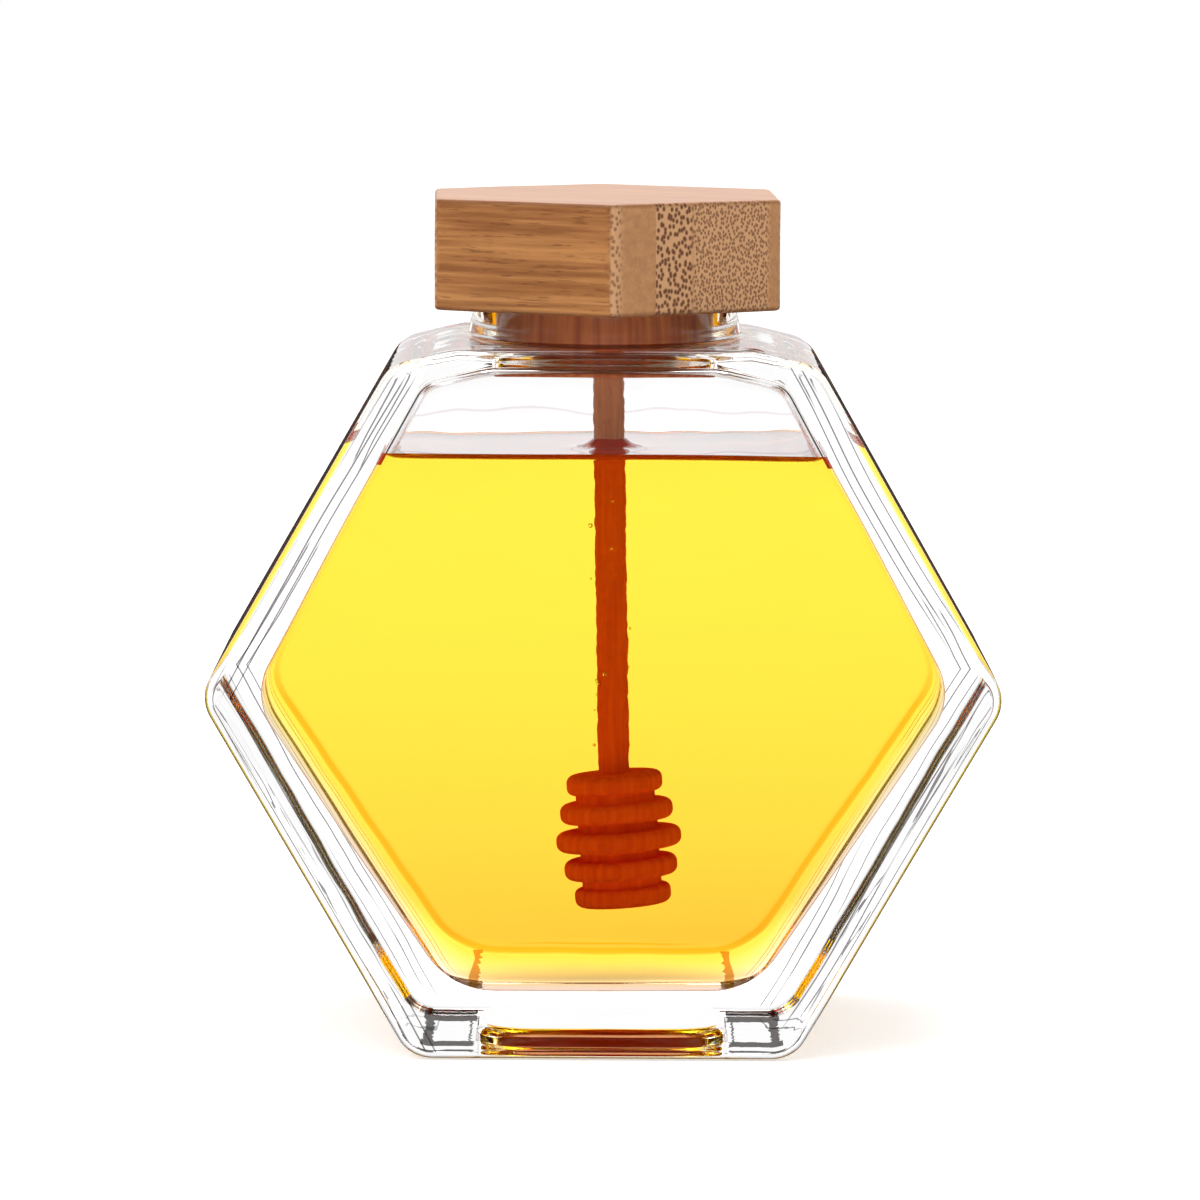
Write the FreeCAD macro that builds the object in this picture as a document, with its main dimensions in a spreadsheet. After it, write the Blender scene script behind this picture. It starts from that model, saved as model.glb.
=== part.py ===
"""Hexagonal glass honey jar with a bamboo lid, a wooden stopper and a honey dipper.

The jar is a thick-walled glass drum whose front is a hexagon that stands on one flat. The
stopper hangs from the lid and fills the bore of the neck, and the dipper hangs from the
stopper into the honey. Millimetres, +Z up, front towards -Y. The origin is the middle of
the foot, on the ground.
"""
import FreeCAD, Part
import math
import os
import Sketcher
from FreeCAD import Placement, Rotation, Vector

SIZES = {
    # outside of the glass; half widths are to the sharp corners, before rounding
    "waist_half": 61.0,             # widest corners, left and right
    "waist_height": 55.1,
    "foot_half": 29.2,              # the flat that the jar stands on
    "shoulder_half": 32.2,          # where the upper sides meet the sloping top
    "shoulder_height": 105.5,
    "landing_rise": 2.3,            # from the shoulder corners to the level landing
    "landing_ledge": 1.2,           # width of the landing beside the neck's bead
    "jar_depth": 58.0,
    "corner_round": 6.0,
    "landing_round": 9.0,
    "rim_round": 1.6,               # front and back edges
    # neck
    "bore_radius": 17.5,
    "neck_wall": 2.5,
    "neck_height": 5.1,             # above the landing
    "bead_reach": 1.1,              # beyond the neck's side
    "bead_height": 3.0,
    "bead_lift": 0.1,               # from the landing to the bead
    "neck_root": 3.0,               # how far the neck goes down into the top
    "lip_round": 0.8,
    # walls; the level ones are measured between the sharp corners
    "front_wall": 5.0,
    "waist_wall": 7.7,
    "foot_wall": 6.3,
    "shoulder_wall": 4.8,
    "floor_wall": 10.0,
    "roof_wall": 2.8,
    "space_waist_round": 9.0,
    "space_foot_round": 12.0,
    "space_shoulder_round": 5.0,
    "space_rim_round": 1.5,
    # hollow under the foot
    "recess_width": 38.5,
    "recess_depth": 32.0,
    "recess_height": 3.0,
    "recess_corner": 9.0,
    "recess_round": 1.6,
    # honey
    "headspace": 17.1,              # from the level up to the landing
    # lid
    "lid_corner_radius": 30.3,
    "lid_height": 16.9,
    "lid_corner_round": 2.0,
    "lid_edge_round": 0.6,
    "lid_turn": 1.5,                # degrees, seen from above
    # stopper
    "stopper_clearance": 0.3,       # to the bore, all round
    "stopper_height": 9.6,
    "stopper_round": 0.8,
    # dipper
    "rod_radius": 2.4,
    "rod_socket": 5.0,              # how far the rod goes up into the stopper
    "rod_root": 3.0,                # how far the rod goes down into the head
    "rod_offset": 0.6,              # from the jar's axis, at the stopper
    "head_lift": 10.6,              # from the jar's floor to the head
    "rod_lean": 1.0,                # degrees from upright
    "head_lean": 4.6,               # degrees from upright
    "disc_pitch": 4.4,
    "disc_height": 3.0,
    "disc_round": 1.2,
    "disc_end_radius": 7.4,
    "disc_next_radius": 8.7,
    "disc_middle_radius": 9.65,
    "core_radius": 6.1,
}

# places that follow from the sizes
NECK_RADIUS = "(sizes.bore_radius + sizes.neck_wall)"
LANDING_HALF = "(%s + sizes.bead_reach + sizes.landing_ledge)" % NECK_RADIUS
LANDING_HEIGHT = "(sizes.shoulder_height + sizes.landing_rise)"
NECK_ROOT = "(%s - sizes.neck_root)" % LANDING_HEIGHT
BEAD_FOOT = "(%s + sizes.bead_lift)" % LANDING_HEIGHT
BEAD_CURVE = "(((sizes.bead_height / 2)^2 + sizes.bead_reach^2) / (2 * sizes.bead_reach))"
LID_FOOT = "(%s + sizes.neck_height)" % LANDING_HEIGHT
ROOF_HEIGHT = "(%s - sizes.roof_wall)" % LANDING_HEIGHT
HONEY_LEVEL = "(%s - sizes.headspace)" % LANDING_HEIGHT
STOPPER_FOOT = "(%s - sizes.stopper_height)" % LID_FOOT
STOPPER_RADIUS = "(sizes.bore_radius - sizes.stopper_clearance)"

# the dipper's head, from its foot up
DISC_RADII = (
    "disc_end_radius", "disc_next_radius", "disc_middle_radius",
    "disc_next_radius", "disc_end_radius",
)
HEAD_HEIGHT = "(%d * sizes.disc_pitch + sizes.disc_height)" % (len(DISC_RADII) - 1)
HEAD_TOP = "(sizes.floor_wall + sizes.head_lift + %s)" % HEAD_HEIGHT
ROD_DROP = "(%s - %s)" % (STOPPER_FOOT, HEAD_TOP)
HEAD_TOP_X = "(sizes.rod_offset + %s * sin(sizes.rod_lean))" % ROD_DROP
HEAD_TOP_Z = "(%s - %s * cos(sizes.rod_lean))" % (STOPPER_FOOT, ROD_DROP)

NEAR = 1e-4     # two places this close are the same

doc = FreeCAD.newDocument("honey_jar")


def make_sheet():
    """The driving sizes, one row each: the name in column A, the number in column B."""
    sheet = doc.addObject("Spreadsheet::Sheet", "sizes")
    for row, (name, number) in enumerate(SIZES.items(), start=1):
        sheet.set("A%d" % row, name)
        sheet.set("B%d" % row, str(number))
        sheet.setAlias("B%d" % row, name)
    doc.recompute()
    return sheet


sheet = make_sheet()


def number_of(expression):
    """What an expression in the sheet's names comes to now."""
    return float(sheet.evalExpression(expression))


def bind(item, **expressions):
    """Ties properties of an object to the sheet. A double underscore stands for a dot."""
    for name, expression in expressions.items():
        item.setExpression(name.replace("__", "."), expression)


def origin_part(body, role):
    """A plane or an axis of a body's own origin."""
    return next(part for part in body.Origin.OriginFeatures if part.Role == role)


def new_body(label):
    body = doc.addObject("PartDesign::Body", label)
    body.Label = label
    return body


def new_sketch(body, name, role):
    sketch = body.newObject("Sketcher::SketchObject", name)
    sketch.AttachmentSupport = [(origin_part(body, role), "")]
    sketch.MapMode = "FlatFace"
    return sketch


def fix(sketch, kind, name, expression, *where):
    """Adds a dimension to a sketch and ties it to the sheet."""
    place = sketch.addConstraint(Sketcher.Constraint(kind, *where, number_of(expression)))
    sketch.renameConstraint(place, name)
    sketch.setExpression("Constraints." + name, expression)


def closed_loop(sketch, corners):
    """Straight lines from corner to corner, and back to the first."""
    count = len(corners)
    for i in range(count):
        sketch.addGeometry(Part.LineSegment(corners[i], corners[(i + 1) % count]))
    for i in range(count):
        sketch.addConstraint(Sketcher.Constraint("Coincident", i, 2, (i + 1) % count, 1))


def mirrored_outline(sketch, right_side):
    """A closed outline, the same left and right, from its right corners, bottom to top.

    Each corner is its name, its half width and its height. A height of None lies on the
    sketch's own level axis.
    """
    right = [
        Vector(number_of(half), number_of(height) if height else 0, 0)
        for name, half, height in right_side
    ]
    left = [Vector(-corner.x, corner.y, 0) for corner in reversed(right)]
    closed_loop(sketch, right + left)
    last = len(right) + len(left) - 1
    for i, (name, half, height) in enumerate(right_side):
        sketch.addConstraint(Sketcher.Constraint("Symmetric", i, 1, last - i, 1, -2))
        fix(sketch, "DistanceX", name + "_half", half, -1, 1, i, 1)
        if height:
            fix(sketch, "DistanceY", name + "_height", height, -1, 1, i, 1)
        else:
            sketch.addConstraint(Sketcher.Constraint("PointOnObject", i, 1, -1))


def pad(body, sketch, name, length, side="One side"):
    feature = body.newObject("PartDesign::Pad", name)
    feature.Profile = sketch
    feature.SideType = side
    bind(feature, Length=length)
    doc.recompute()
    return feature


def round_edges(body, name, radius, wanted):
    """Rounds the edges of a body that the test wanted picks."""
    base = body.Tip
    found = ["Edge%d" % i for i, edge in enumerate(base.Shape.Edges, 1) if wanted(edge)]
    if not found:
        raise RuntimeError("no edge to round for " + name)
    feature = body.newObject("PartDesign::Fillet", name)
    feature.Base = (base, found)
    bind(feature, Radius=radius)
    doc.recompute()
    return feature


def runs_deep(half, height):
    """Picks the front-to-back edges at one pair of corners, left and right."""
    x, z = number_of(half), number_of(height)

    def wanted(edge):
        box = edge.BoundBox
        straight_back = box.XLength < NEAR and box.ZLength < NEAR
        return straight_back and abs(abs(box.XMin) - x) < NEAR and abs(box.ZMin - z) < NEAR

    return wanted


def faces_out(depth):
    """Picks the edges of the flat front and back, this far apart."""
    y = number_of(depth) / 2

    def wanted(edge):
        box = edge.BoundBox
        return box.YLength < NEAR and abs(abs(box.YMin) - y) < NEAR

    return wanted


def at_height(height, reach):
    """Picks the level edges at one height that stay within reach of the axis."""
    z, limit = number_of(height), number_of(reach) + NEAR

    def wanted(edge):
        box = edge.BoundBox
        near = max(abs(box.XMin), abs(box.XMax), abs(box.YMin), abs(box.YMax)) < limit
        return near and box.ZLength < NEAR and abs(box.ZMin - z) < NEAR

    return wanted


def make_jar_blank():
    """The jar's outside as one solid lump of glass, with its neck and the hollow below."""
    body = new_body("jar_blank")
    corners = [
        ("foot", "sizes.foot_half", None),
        ("waist", "sizes.waist_half", "sizes.waist_height"),
        ("shoulder", "sizes.shoulder_half", "sizes.shoulder_height"),
        ("landing", LANDING_HALF, LANDING_HEIGHT),
    ]
    sketch = new_sketch(body, "jar_outline", "XZ_Plane")
    mirrored_outline(sketch, corners)
    pad(body, sketch, "jar_drum", "sizes.jar_depth", "Symmetric")
    for name, half, height in corners[:-1]:
        picked = runs_deep(half, height or "0")
        round_edges(body, name + "_corners", "sizes.corner_round", picked)
    picked = runs_deep(LANDING_HALF, LANDING_HEIGHT)
    round_edges(body, "landing_corners", "sizes.landing_round", picked)
    round_edges(body, "jar_rims", "sizes.rim_round", faces_out("sizes.jar_depth"))
    add_neck(body)
    cut_recess(body)
    return body


def add_neck(body):
    """A solid turned neck with a rounded bead just above the landing."""
    sketch = new_sketch(body, "neck_outline", "XZ_Plane")
    radius = number_of(NECK_RADIUS)
    root = number_of(NECK_ROOT)
    low = number_of(BEAD_FOOT)
    high = low + number_of("sizes.bead_height")
    top = number_of(LID_FOOT)
    bulge = Vector(radius + number_of("sizes.bead_reach"), (low + high) / 2, 0)
    foot, bead_foot, bead_top, lip, crown, centre = (
        Vector(radius, root, 0), Vector(radius, low, 0), Vector(radius, high, 0),
        Vector(radius, top, 0), Vector(0, top, 0), Vector(0, root, 0),
    )
    sketch.addGeometry(Part.LineSegment(foot, bead_foot))
    sketch.addGeometry(Part.Arc(bead_foot, bulge, bead_top))
    sketch.addGeometry(Part.LineSegment(bead_top, lip))
    sketch.addGeometry(Part.LineSegment(lip, crown))
    sketch.addGeometry(Part.LineSegment(crown, centre))
    sketch.addGeometry(Part.LineSegment(centre, foot))
    for i in range(6):
        following = (i + 1) % 6
        sketch.addConstraint(Sketcher.Constraint("Coincident", i, 2, following, 1))
    sketch.addConstraint(Sketcher.Constraint("Vertical", 0))
    sketch.addConstraint(Sketcher.Constraint("Vertical", 2))
    sketch.addConstraint(Sketcher.Constraint("Horizontal", 3))
    sketch.addConstraint(Sketcher.Constraint("Horizontal", 5))
    sketch.addConstraint(Sketcher.Constraint("PointOnObject", 4, 1, -2))
    sketch.addConstraint(Sketcher.Constraint("PointOnObject", 4, 2, -2))
    fix(sketch, "DistanceX", "neck_foot", NECK_RADIUS, -1, 1, 0, 1)
    fix(sketch, "DistanceX", "neck_side", NECK_RADIUS, -1, 1, 2, 1)
    fix(sketch, "DistanceY", "neck_root", NECK_ROOT, -1, 1, 0, 1)
    fix(sketch, "DistanceY", "bead_low", BEAD_FOOT, -1, 1, 1, 1)
    fix(sketch, "DistanceY", "bead_high", "sizes.bead_height", 1, 1, 1, 2)
    fix(sketch, "DistanceY", "neck_top", LID_FOOT, -1, 1, 2, 2)
    fix(sketch, "Radius", "bead_curve", BEAD_CURVE, 1)
    neck = body.newObject("PartDesign::Revolution", "neck")
    neck.Profile = sketch
    neck.ReferenceAxis = (sketch, ["V_Axis"])
    neck.Angle = 360
    doc.recompute()
    round_edges(body, "neck_lip", "sizes.lip_round", at_height(LID_FOOT, NECK_RADIUS))


def cut_recess(body):
    """A shallow hollow under the foot, so that the jar stands on a ring of glass."""
    sketch = new_sketch(body, "recess_outline", "XY_Plane")
    half_width = number_of("sizes.recess_width / 2")
    half_depth = number_of("sizes.recess_depth / 2")
    corners = [
        Vector(x * half_width, y * half_depth, 0)
        for x, y in ((1, -1), (1, 1), (-1, 1), (-1, -1))
    ]
    closed_loop(sketch, corners)
    sketch.addConstraint(Sketcher.Constraint("Symmetric", 0, 1, 3, 1, -2))
    sketch.addConstraint(Sketcher.Constraint("Symmetric", 1, 1, 2, 1, -2))
    sketch.addConstraint(Sketcher.Constraint("Symmetric", 0, 1, 1, 1, -1))
    fix(sketch, "DistanceX", "half_width", "sizes.recess_width / 2", -1, 1, 1, 1)
    fix(sketch, "DistanceY", "half_depth", "sizes.recess_depth / 2", -1, 1, 1, 1)
    recess = body.newObject("PartDesign::Pocket", "foot_recess")
    recess.Profile = sketch
    recess.Reversed = True
    bind(recess, Length="sizes.recess_height")
    doc.recompute()

    def upright_corner(edge):
        box = edge.BoundBox
        at_corner = (
            abs(max(abs(box.XMin), abs(box.XMax)) - half_width) < NEAR
            and abs(max(abs(box.YMin), abs(box.YMax)) - half_depth) < NEAR
        )
        return at_corner and box.XLength < NEAR and box.YLength < NEAR

    round_edges(body, "recess_corners", "sizes.recess_corner", upright_corner)
    ceiling = at_height("sizes.recess_height", "sizes.recess_width / 2")
    round_edges(body, "recess_ceiling", "sizes.recess_round", ceiling)


def make_jar_space():
    """The room inside the jar below its neck, as a solid."""
    body = new_body("jar_space")
    corners = [
        ("foot", "sizes.foot_half - sizes.foot_wall", "sizes.floor_wall"),
        ("waist", "sizes.waist_half - sizes.waist_wall", "sizes.waist_height"),
        ("shoulder", "sizes.shoulder_half - sizes.shoulder_wall",
         "sizes.shoulder_height - sizes.roof_wall"),
        ("roof", "sizes.bore_radius", ROOF_HEIGHT),
    ]
    sketch = new_sketch(body, "space_outline", "XZ_Plane")
    mirrored_outline(sketch, corners)
    depth = "sizes.jar_depth - 2 * sizes.front_wall"
    pad(body, sketch, "space_drum", depth, "Symmetric")
    for name, half, height in corners[:-1]:
        radius = "sizes.space_%s_round" % name
        round_edges(body, "space_%s_corners" % name, radius, runs_deep(half, height))
    round_edges(body, "space_rims", "sizes.space_rim_round", faces_out(depth))
    return body


def cylinder(name, radius, height):
    tube = doc.addObject("Part::Cylinder", name)
    bind(tube, Radius=radius, Height=height)
    return tube


def combine(kind, name, base, tool):
    """A boolean of two objects: kind is Part::Cut, Part::Fuse or Part::Common."""
    result = doc.addObject(kind, name)
    result.Base = base
    result.Tool = tool
    result.Label = name
    return result


def make_glass(blank, space):
    """The jar: its outside less the room inside and the bore through the neck."""
    bore = cylinder("bore", "sizes.bore_radius", "sizes.neck_height + 2 * sizes.roof_wall")
    bind(bore, Placement__Base__z=ROOF_HEIGHT + " - sizes.roof_wall / 2")
    hollow = combine("Part::Fuse", "jar_hollow", space, bore)
    return combine("Part::Cut", "glass_jar", blank, hollow)


def make_lid():
    """A hexagonal bamboo block, one corner to the front, that sits on the neck."""
    body = new_body("lid")
    sketch = new_sketch(body, "lid_outline", "XY_Plane")
    radius = number_of("sizes.lid_corner_radius")
    turns = [math.radians(60 * i - 90) for i in range(6)]
    corners = [Vector(radius * math.cos(a), radius * math.sin(a), 0) for a in turns]
    closed_loop(sketch, corners)
    ring = sketch.addGeometry(Part.Circle(Vector(0, 0, 0), Vector(0, 0, 1), radius), True)
    sketch.addConstraint(Sketcher.Constraint("Coincident", ring, 3, -1, 1))
    for i in range(6):
        sketch.addConstraint(Sketcher.Constraint("PointOnObject", i, 1, ring))
    for i in range(1, 6):
        sketch.addConstraint(Sketcher.Constraint("Equal", 0, i))
    sketch.addConstraint(Sketcher.Constraint("PointOnObject", 0, 1, -2))
    fix(sketch, "Radius", "corner_radius", "sizes.lid_corner_radius", ring)
    pad(body, sketch, "lid_block", "sizes.lid_height")
    round_edges(
        body, "lid_corners", "sizes.lid_corner_round",
        lambda edge: edge.BoundBox.ZLength > NEAR,
    )
    round_edges(
        body, "lid_edges", "sizes.lid_edge_round",
        lambda edge: edge.BoundBox.ZLength < NEAR,
    )
    body.Placement = Placement(Vector(0, 0, 0), Rotation(Vector(0, 0, 1), 1))
    bind(body, Placement__Base__z=LID_FOOT, Placement__Rotation__Angle="sizes.lid_turn")
    return body


def make_rod():
    """The dipper's rod, from inside the head up into the stopper."""
    length = "sizes.rod_root + %s + sizes.rod_socket" % ROD_DROP
    rod = cylinder("rod", "sizes.rod_radius", length)
    rod.Placement = Placement(Vector(0, 0, 0), Rotation(Vector(0, -1, 0), 1))
    bind(
        rod,
        Placement__Base__x=HEAD_TOP_X + " + sizes.rod_root * sin(sizes.rod_lean)",
        Placement__Base__z=HEAD_TOP_Z + " - sizes.rod_root * cos(sizes.rod_lean)",
        Placement__Rotation__Angle="sizes.rod_lean",
    )
    return rod


def make_stopper(rod):
    """The turned plug in the bore, with the rod's socket in its underside."""
    body = new_body("stopper_blank")
    sketch = new_sketch(body, "stopper_outline", "XY_Plane")
    circle = Part.Circle(Vector(0, 0, 0), Vector(0, 0, 1), number_of(STOPPER_RADIUS))
    sketch.addGeometry(circle)
    sketch.addConstraint(Sketcher.Constraint("Coincident", 0, 3, -1, 1))
    fix(sketch, "Radius", "stopper_radius", STOPPER_RADIUS, 0)
    pad(body, sketch, "stopper_block", "sizes.stopper_height")
    round_edges(body, "stopper_rim", "sizes.stopper_round", at_height("0", STOPPER_RADIUS))
    bind(body, Placement__Base__z=STOPPER_FOOT)
    return combine("Part::Cut", "stopper", body, rod)


def make_dipper(rod):
    """The rod with a turned head: a core with rounded discs, the widest in the middle."""
    body = new_body("dipper_head")
    core = body.newObject("PartDesign::AdditiveCylinder", "core")
    bind(core, Radius="sizes.core_radius", Height=HEAD_HEIGHT)
    for i, radius in enumerate(DISC_RADII):
        disc = body.newObject("PartDesign::AdditiveCylinder", "disc_%d" % (i + 1))
        bind(disc, Radius="sizes." + radius, Height="sizes.disc_height")
        disc.AttachmentSupport = [(origin_part(body, "XY_Plane"), "")]
        disc.MapMode = "FlatFace"
        bind(disc, AttachmentOffset__Base__z="%d * sizes.disc_pitch" % i)
    doc.recompute()
    inside = number_of("sizes.core_radius") + NEAR
    round_edges(
        body, "disc_rims", "sizes.disc_round",
        lambda edge: edge.BoundBox.ZLength < NEAR and edge.BoundBox.XMax > inside,
    )
    body.Placement = Placement(Vector(0, 0, 0), Rotation(Vector(0, -1, 0), 1))
    bind(
        body,
        Placement__Base__x=HEAD_TOP_X + " + %s * sin(sizes.head_lean)" % HEAD_HEIGHT,
        Placement__Base__z=HEAD_TOP_Z + " - %s * cos(sizes.head_lean)" % HEAD_HEIGHT,
        Placement__Rotation__Angle="sizes.head_lean",
    )
    return combine("Part::Fuse", "dipper", body, rod)


def make_honey(space, dipper):
    """What is below the level in the jar, round the dipper."""
    below = doc.addObject("Part::Box", "below_level")
    bind(
        below,
        Length="2 * sizes.waist_half",
        Width="sizes.jar_depth",
        Height=HONEY_LEVEL,
        Placement__Base__x="-sizes.waist_half",
        Placement__Base__y="-sizes.jar_depth / 2",
    )
    fill = combine("Part::Common", "honey_fill", space, below)
    return combine("Part::Cut", "honey", fill, dipper)


def check(nodes):
    """Stops if an object of the document failed or a piece isn't one sound solid."""
    for item in doc.Objects:
        if "Invalid" in item.State or "Error" in item.State:
            raise RuntimeError("%s failed: %s" % (item.Label, item.State))
    for node in nodes:
        shape = node.Shape
        if shape.isNull() or not shape.isValid() or len(shape.Solids) != 1:
            raise RuntimeError("%s isn't one sound solid" % node.Label)


def main():
    space = make_jar_space()
    glass = make_glass(make_jar_blank(), space)
    rod = make_rod()
    stopper = make_stopper(rod)
    dipper = make_dipper(rod)
    honey = make_honey(space, dipper)
    nodes = [glass, honey, make_lid(), stopper, dipper]
    doc.recompute()
    check(nodes)
    os.makedirs("parts", exist_ok=True)
    for node in nodes:
        node.Shape.exportStep("parts/%s.step" % node.Label)
        print("%s: %.1f ml" % (node.Label, node.Shape.Volume / 1000))


main()
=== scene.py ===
"""Looks of a hexagonal glass honey jar with a bamboo lid, a stopper and a honey dipper.

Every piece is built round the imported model, in metres, +Z up and front towards -Y.
"""
import math

import bmesh
import bpy
from bpy.props import FloatProperty, FloatVectorProperty, IntProperty, PointerProperty
from mathutils import Matrix, Vector, noise


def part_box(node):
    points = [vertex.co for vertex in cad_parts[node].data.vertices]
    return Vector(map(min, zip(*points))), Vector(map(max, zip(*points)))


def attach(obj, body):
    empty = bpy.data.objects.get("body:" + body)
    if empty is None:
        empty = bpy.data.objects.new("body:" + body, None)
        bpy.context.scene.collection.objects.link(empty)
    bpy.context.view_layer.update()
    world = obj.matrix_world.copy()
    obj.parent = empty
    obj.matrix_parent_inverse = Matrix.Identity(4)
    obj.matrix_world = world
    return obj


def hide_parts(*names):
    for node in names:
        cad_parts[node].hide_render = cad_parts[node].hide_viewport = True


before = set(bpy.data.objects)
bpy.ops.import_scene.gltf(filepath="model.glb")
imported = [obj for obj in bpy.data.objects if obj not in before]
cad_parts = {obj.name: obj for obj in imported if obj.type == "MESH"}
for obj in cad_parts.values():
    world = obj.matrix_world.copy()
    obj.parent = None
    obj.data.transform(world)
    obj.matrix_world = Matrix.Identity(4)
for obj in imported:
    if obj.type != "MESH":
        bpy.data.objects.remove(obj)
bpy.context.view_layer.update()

bl_info = {
    "name": "Honey Jar With Dipper",
    "version": (1, 0, 0),
    "blender": (4, 5, 0),
    "location": "3D View > Sidebar > Honey Jar",
    "description": "Builds a hexagonal glass honey jar with its lid, stopper, dipper and honey",
    "category": "Add Mesh",
}

MM = 0.001
BODY = "root"
WHITE = (1, 1, 1, 1)
GLASS_IOR, HONEY_IOR, WOOD_IOR = 1.52, 1.49, 1.5
# Blender shifts its noise by the time of day unless it is seeded
WANDER_SEED = 1795413281
LID_GAP = 0.05 * MM
FLOOR_GAP = 0.15 * MM
FLOOR_HALF = 3.0
DIM = 0.06
BOUNCES = {
    "max_bounces": 32, "transmission_bounces": 32, "glossy_bounces": 16, "diffuse_bounces": 6}
# area lamps: name, place, width and power
LAMPS = (
    ("key", (-0.5, -0.6, 0.9), 0.7, 4.2),
    ("top", (0.0, 0.1, 1.1), 0.6, 5.0),
)

JAR_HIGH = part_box("glass_jar")[1]
LID_LOW, LID_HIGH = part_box("lid")
STOPPER_LOW, STOPPER_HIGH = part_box("stopper")
HONEY_LOW, HONEY_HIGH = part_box("honey")


# ---------------------------------------------------------------- small helpers

def linear(hex_code):
    """An sRGB hex colour as linear red, green, blue."""
    parts = [int(hex_code[i:i + 2], 16) / 255 for i in (1, 3, 5)]
    return tuple(c / 12.92 if c <= 0.04045 else ((c + 0.055) / 1.055) ** 2.4 for c in parts)


def length(name, description, default):
    return FloatProperty(
        name=name, description=description, default=default, min=0, precision=5,
        subtype="DISTANCE", unit="LENGTH",
    )


def angle(name, description, degrees):
    return FloatProperty(
        name=name, description=description, default=math.radians(degrees),
        subtype="ANGLE", unit="ROTATION",
    )


def tint(name, description, hex_code):
    return FloatVectorProperty(
        name=name, description=description, default=linear(hex_code), size=3,
        min=0, max=1, subtype="COLOR",
    )


MATH, VECTOR_MATH = "ShaderNodeMath", "ShaderNodeVectorMath"
MIX, MAP_RANGE = "ShaderNodeMix", "ShaderNodeMapRange"
SPLIT, JOIN = "ShaderNodeSeparateXYZ", "ShaderNodeCombineXYZ"
COORDINATES, MAPPING = "ShaderNodeTexCoord", "ShaderNodeMapping"
NOISE, BUMP = "ShaderNodeTexNoise", "ShaderNodeBump"
PRINCIPLED, DIFFUSE = "ShaderNodeBsdfPrincipled", "ShaderNodeBsdfDiffuse"
OUTPUT = "ShaderNodeOutputMaterial"
MOVE, TRANSFORM = "GeometryNodeSetPosition", "GeometryNodeTransform"


def add(tree, kind, inputs=(), operation=None, **settings):
    """Adds a node with its settings and links.

    An input is a value, a hex colour, a socket, or a node whose first output in use is meant.
    Inputs without names go in the node's own order, which for a range is the value, from low,
    from high, to low and to high.
    """
    node = tree.nodes.new(kind)
    if operation:
        settings["operation"] = operation
    for name, value in settings.items():
        setattr(node, name, value)
    for key, value in inputs.items() if isinstance(inputs, dict) else enumerate(inputs):
        socket = node.inputs[key]
        if isinstance(value, bpy.types.Node):
            value = next(out for out in value.outputs if out.enabled)
        if isinstance(value, bpy.types.NodeSocket):
            tree.links.new(value, socket)
            continue
        if isinstance(value, str):
            value = linear(value)
        if socket.type == "RGBA" and len(value) == 3:
            value = (*value, 1.0)
        socket.default_value = value
    return node


def new_material(name):
    """An empty material and its tree."""
    material = bpy.data.materials.new(name)
    material.use_nodes = True
    material.node_tree.nodes.clear()
    return material, material.node_tree


def layered(tree, base, tints):
    """Lays colours over a base one after another, each by its own amount."""
    for amount, over in tints:
        base = add(tree, MIX, {0: amount, 6: base, 7: over}, data_type="RGBA")
    return base


def ramp(value, low, high):
    """How far a value has come from low to high, from 0 to 1."""
    return min(1, max(0, (value - low) / (high - low)))


def place(piece, node):
    """Puts a finished piece on the jar's body in place of a node of the frame."""
    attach(piece, BODY)
    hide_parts(node)


def make_piece(name, skin, materials):
    """A mesh object from a skin, closed, smooth and facing outwards."""
    mesh = bpy.data.meshes.new(name)
    mesh.from_pydata(skin.points, [], skin.faces)
    mesh.update()
    for material in materials:
        mesh.materials.append(material)
    for face, finish in zip(mesh.polygons, skin.finishes):
        face.material_index = finish
        face.use_smooth = True
    piece = bpy.data.objects.new(name, mesh)
    bpy.context.scene.collection.objects.link(piece)
    tidy = bmesh.new()
    tidy.from_mesh(mesh)
    unused = [point for point in tidy.verts if not point.link_faces]
    bmesh.ops.delete(tidy, geom=unused, context="VERTS")
    bmesh.ops.remove_doubles(tidy, verts=tidy.verts, dist=1e-6)
    bmesh.ops.recalc_face_normals(tidy, faces=tidy.faces)
    tidy.to_mesh(mesh)
    tidy.free()
    weighted = piece.modifiers.new("even_shading", "WEIGHTED_NORMAL")
    weighted.mode = "FACE_AREA"
    weighted.weight = 100
    weighted.keep_sharp = True
    return piece


class Skin:
    """Points and faces of one piece, put together ring by ring."""

    def __init__(self):
        self.points = []
        self.faces = []
        self.finishes = []

    def ring(self, points):
        first = len(self.points)
        self.points.extend(tuple(p) for p in points)
        return list(range(first, len(self.points)))

    def face(self, corners, finish=0):
        self.faces.append(tuple(corners))
        self.finishes.append(finish)

    def band(self, low, high, closed=True, finish=0):
        """Four-sided faces between two rings of as many points."""
        count = len(low)
        for i in range(count if closed else count - 1):
            j = (i + 1) % count
            self.face((low[i], low[j], high[j], high[i]), finish)

    def grow(self, ring, levels):
        """Joins a ring to further rings of points, one after another, and gives the last."""
        for points in levels:
            current = self.ring(points)
            self.band(ring, current)
            ring = current
        return ring

    def cap(self, ring, centre):
        """Closes a ring with a fan to one point."""
        hub = self.ring([centre])[0]
        for i, corner in enumerate(ring):
            self.face((corner, ring[(i + 1) % len(ring)], hub))

    def close(self, ring, centre):
        """Closes a wide ring with narrower ones and a fan."""
        rim = [self.points[i] for i in ring]
        self.cap(self.grow(ring, (
            [(x * share, y * share, z) for x, y, z in rim] for share in (0.8, 0.6, 0.4, 0.2)
        )), centre)


def arc(centre, radius, start, turn, steps):
    """Points on an arc, both ends included."""
    return [
        (
            centre[0] + radius * math.cos(start + turn * i / steps),
            centre[1] + radius * math.sin(start + turn * i / steps),
        )
        for i in range(steps + 1)
    ]


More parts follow.
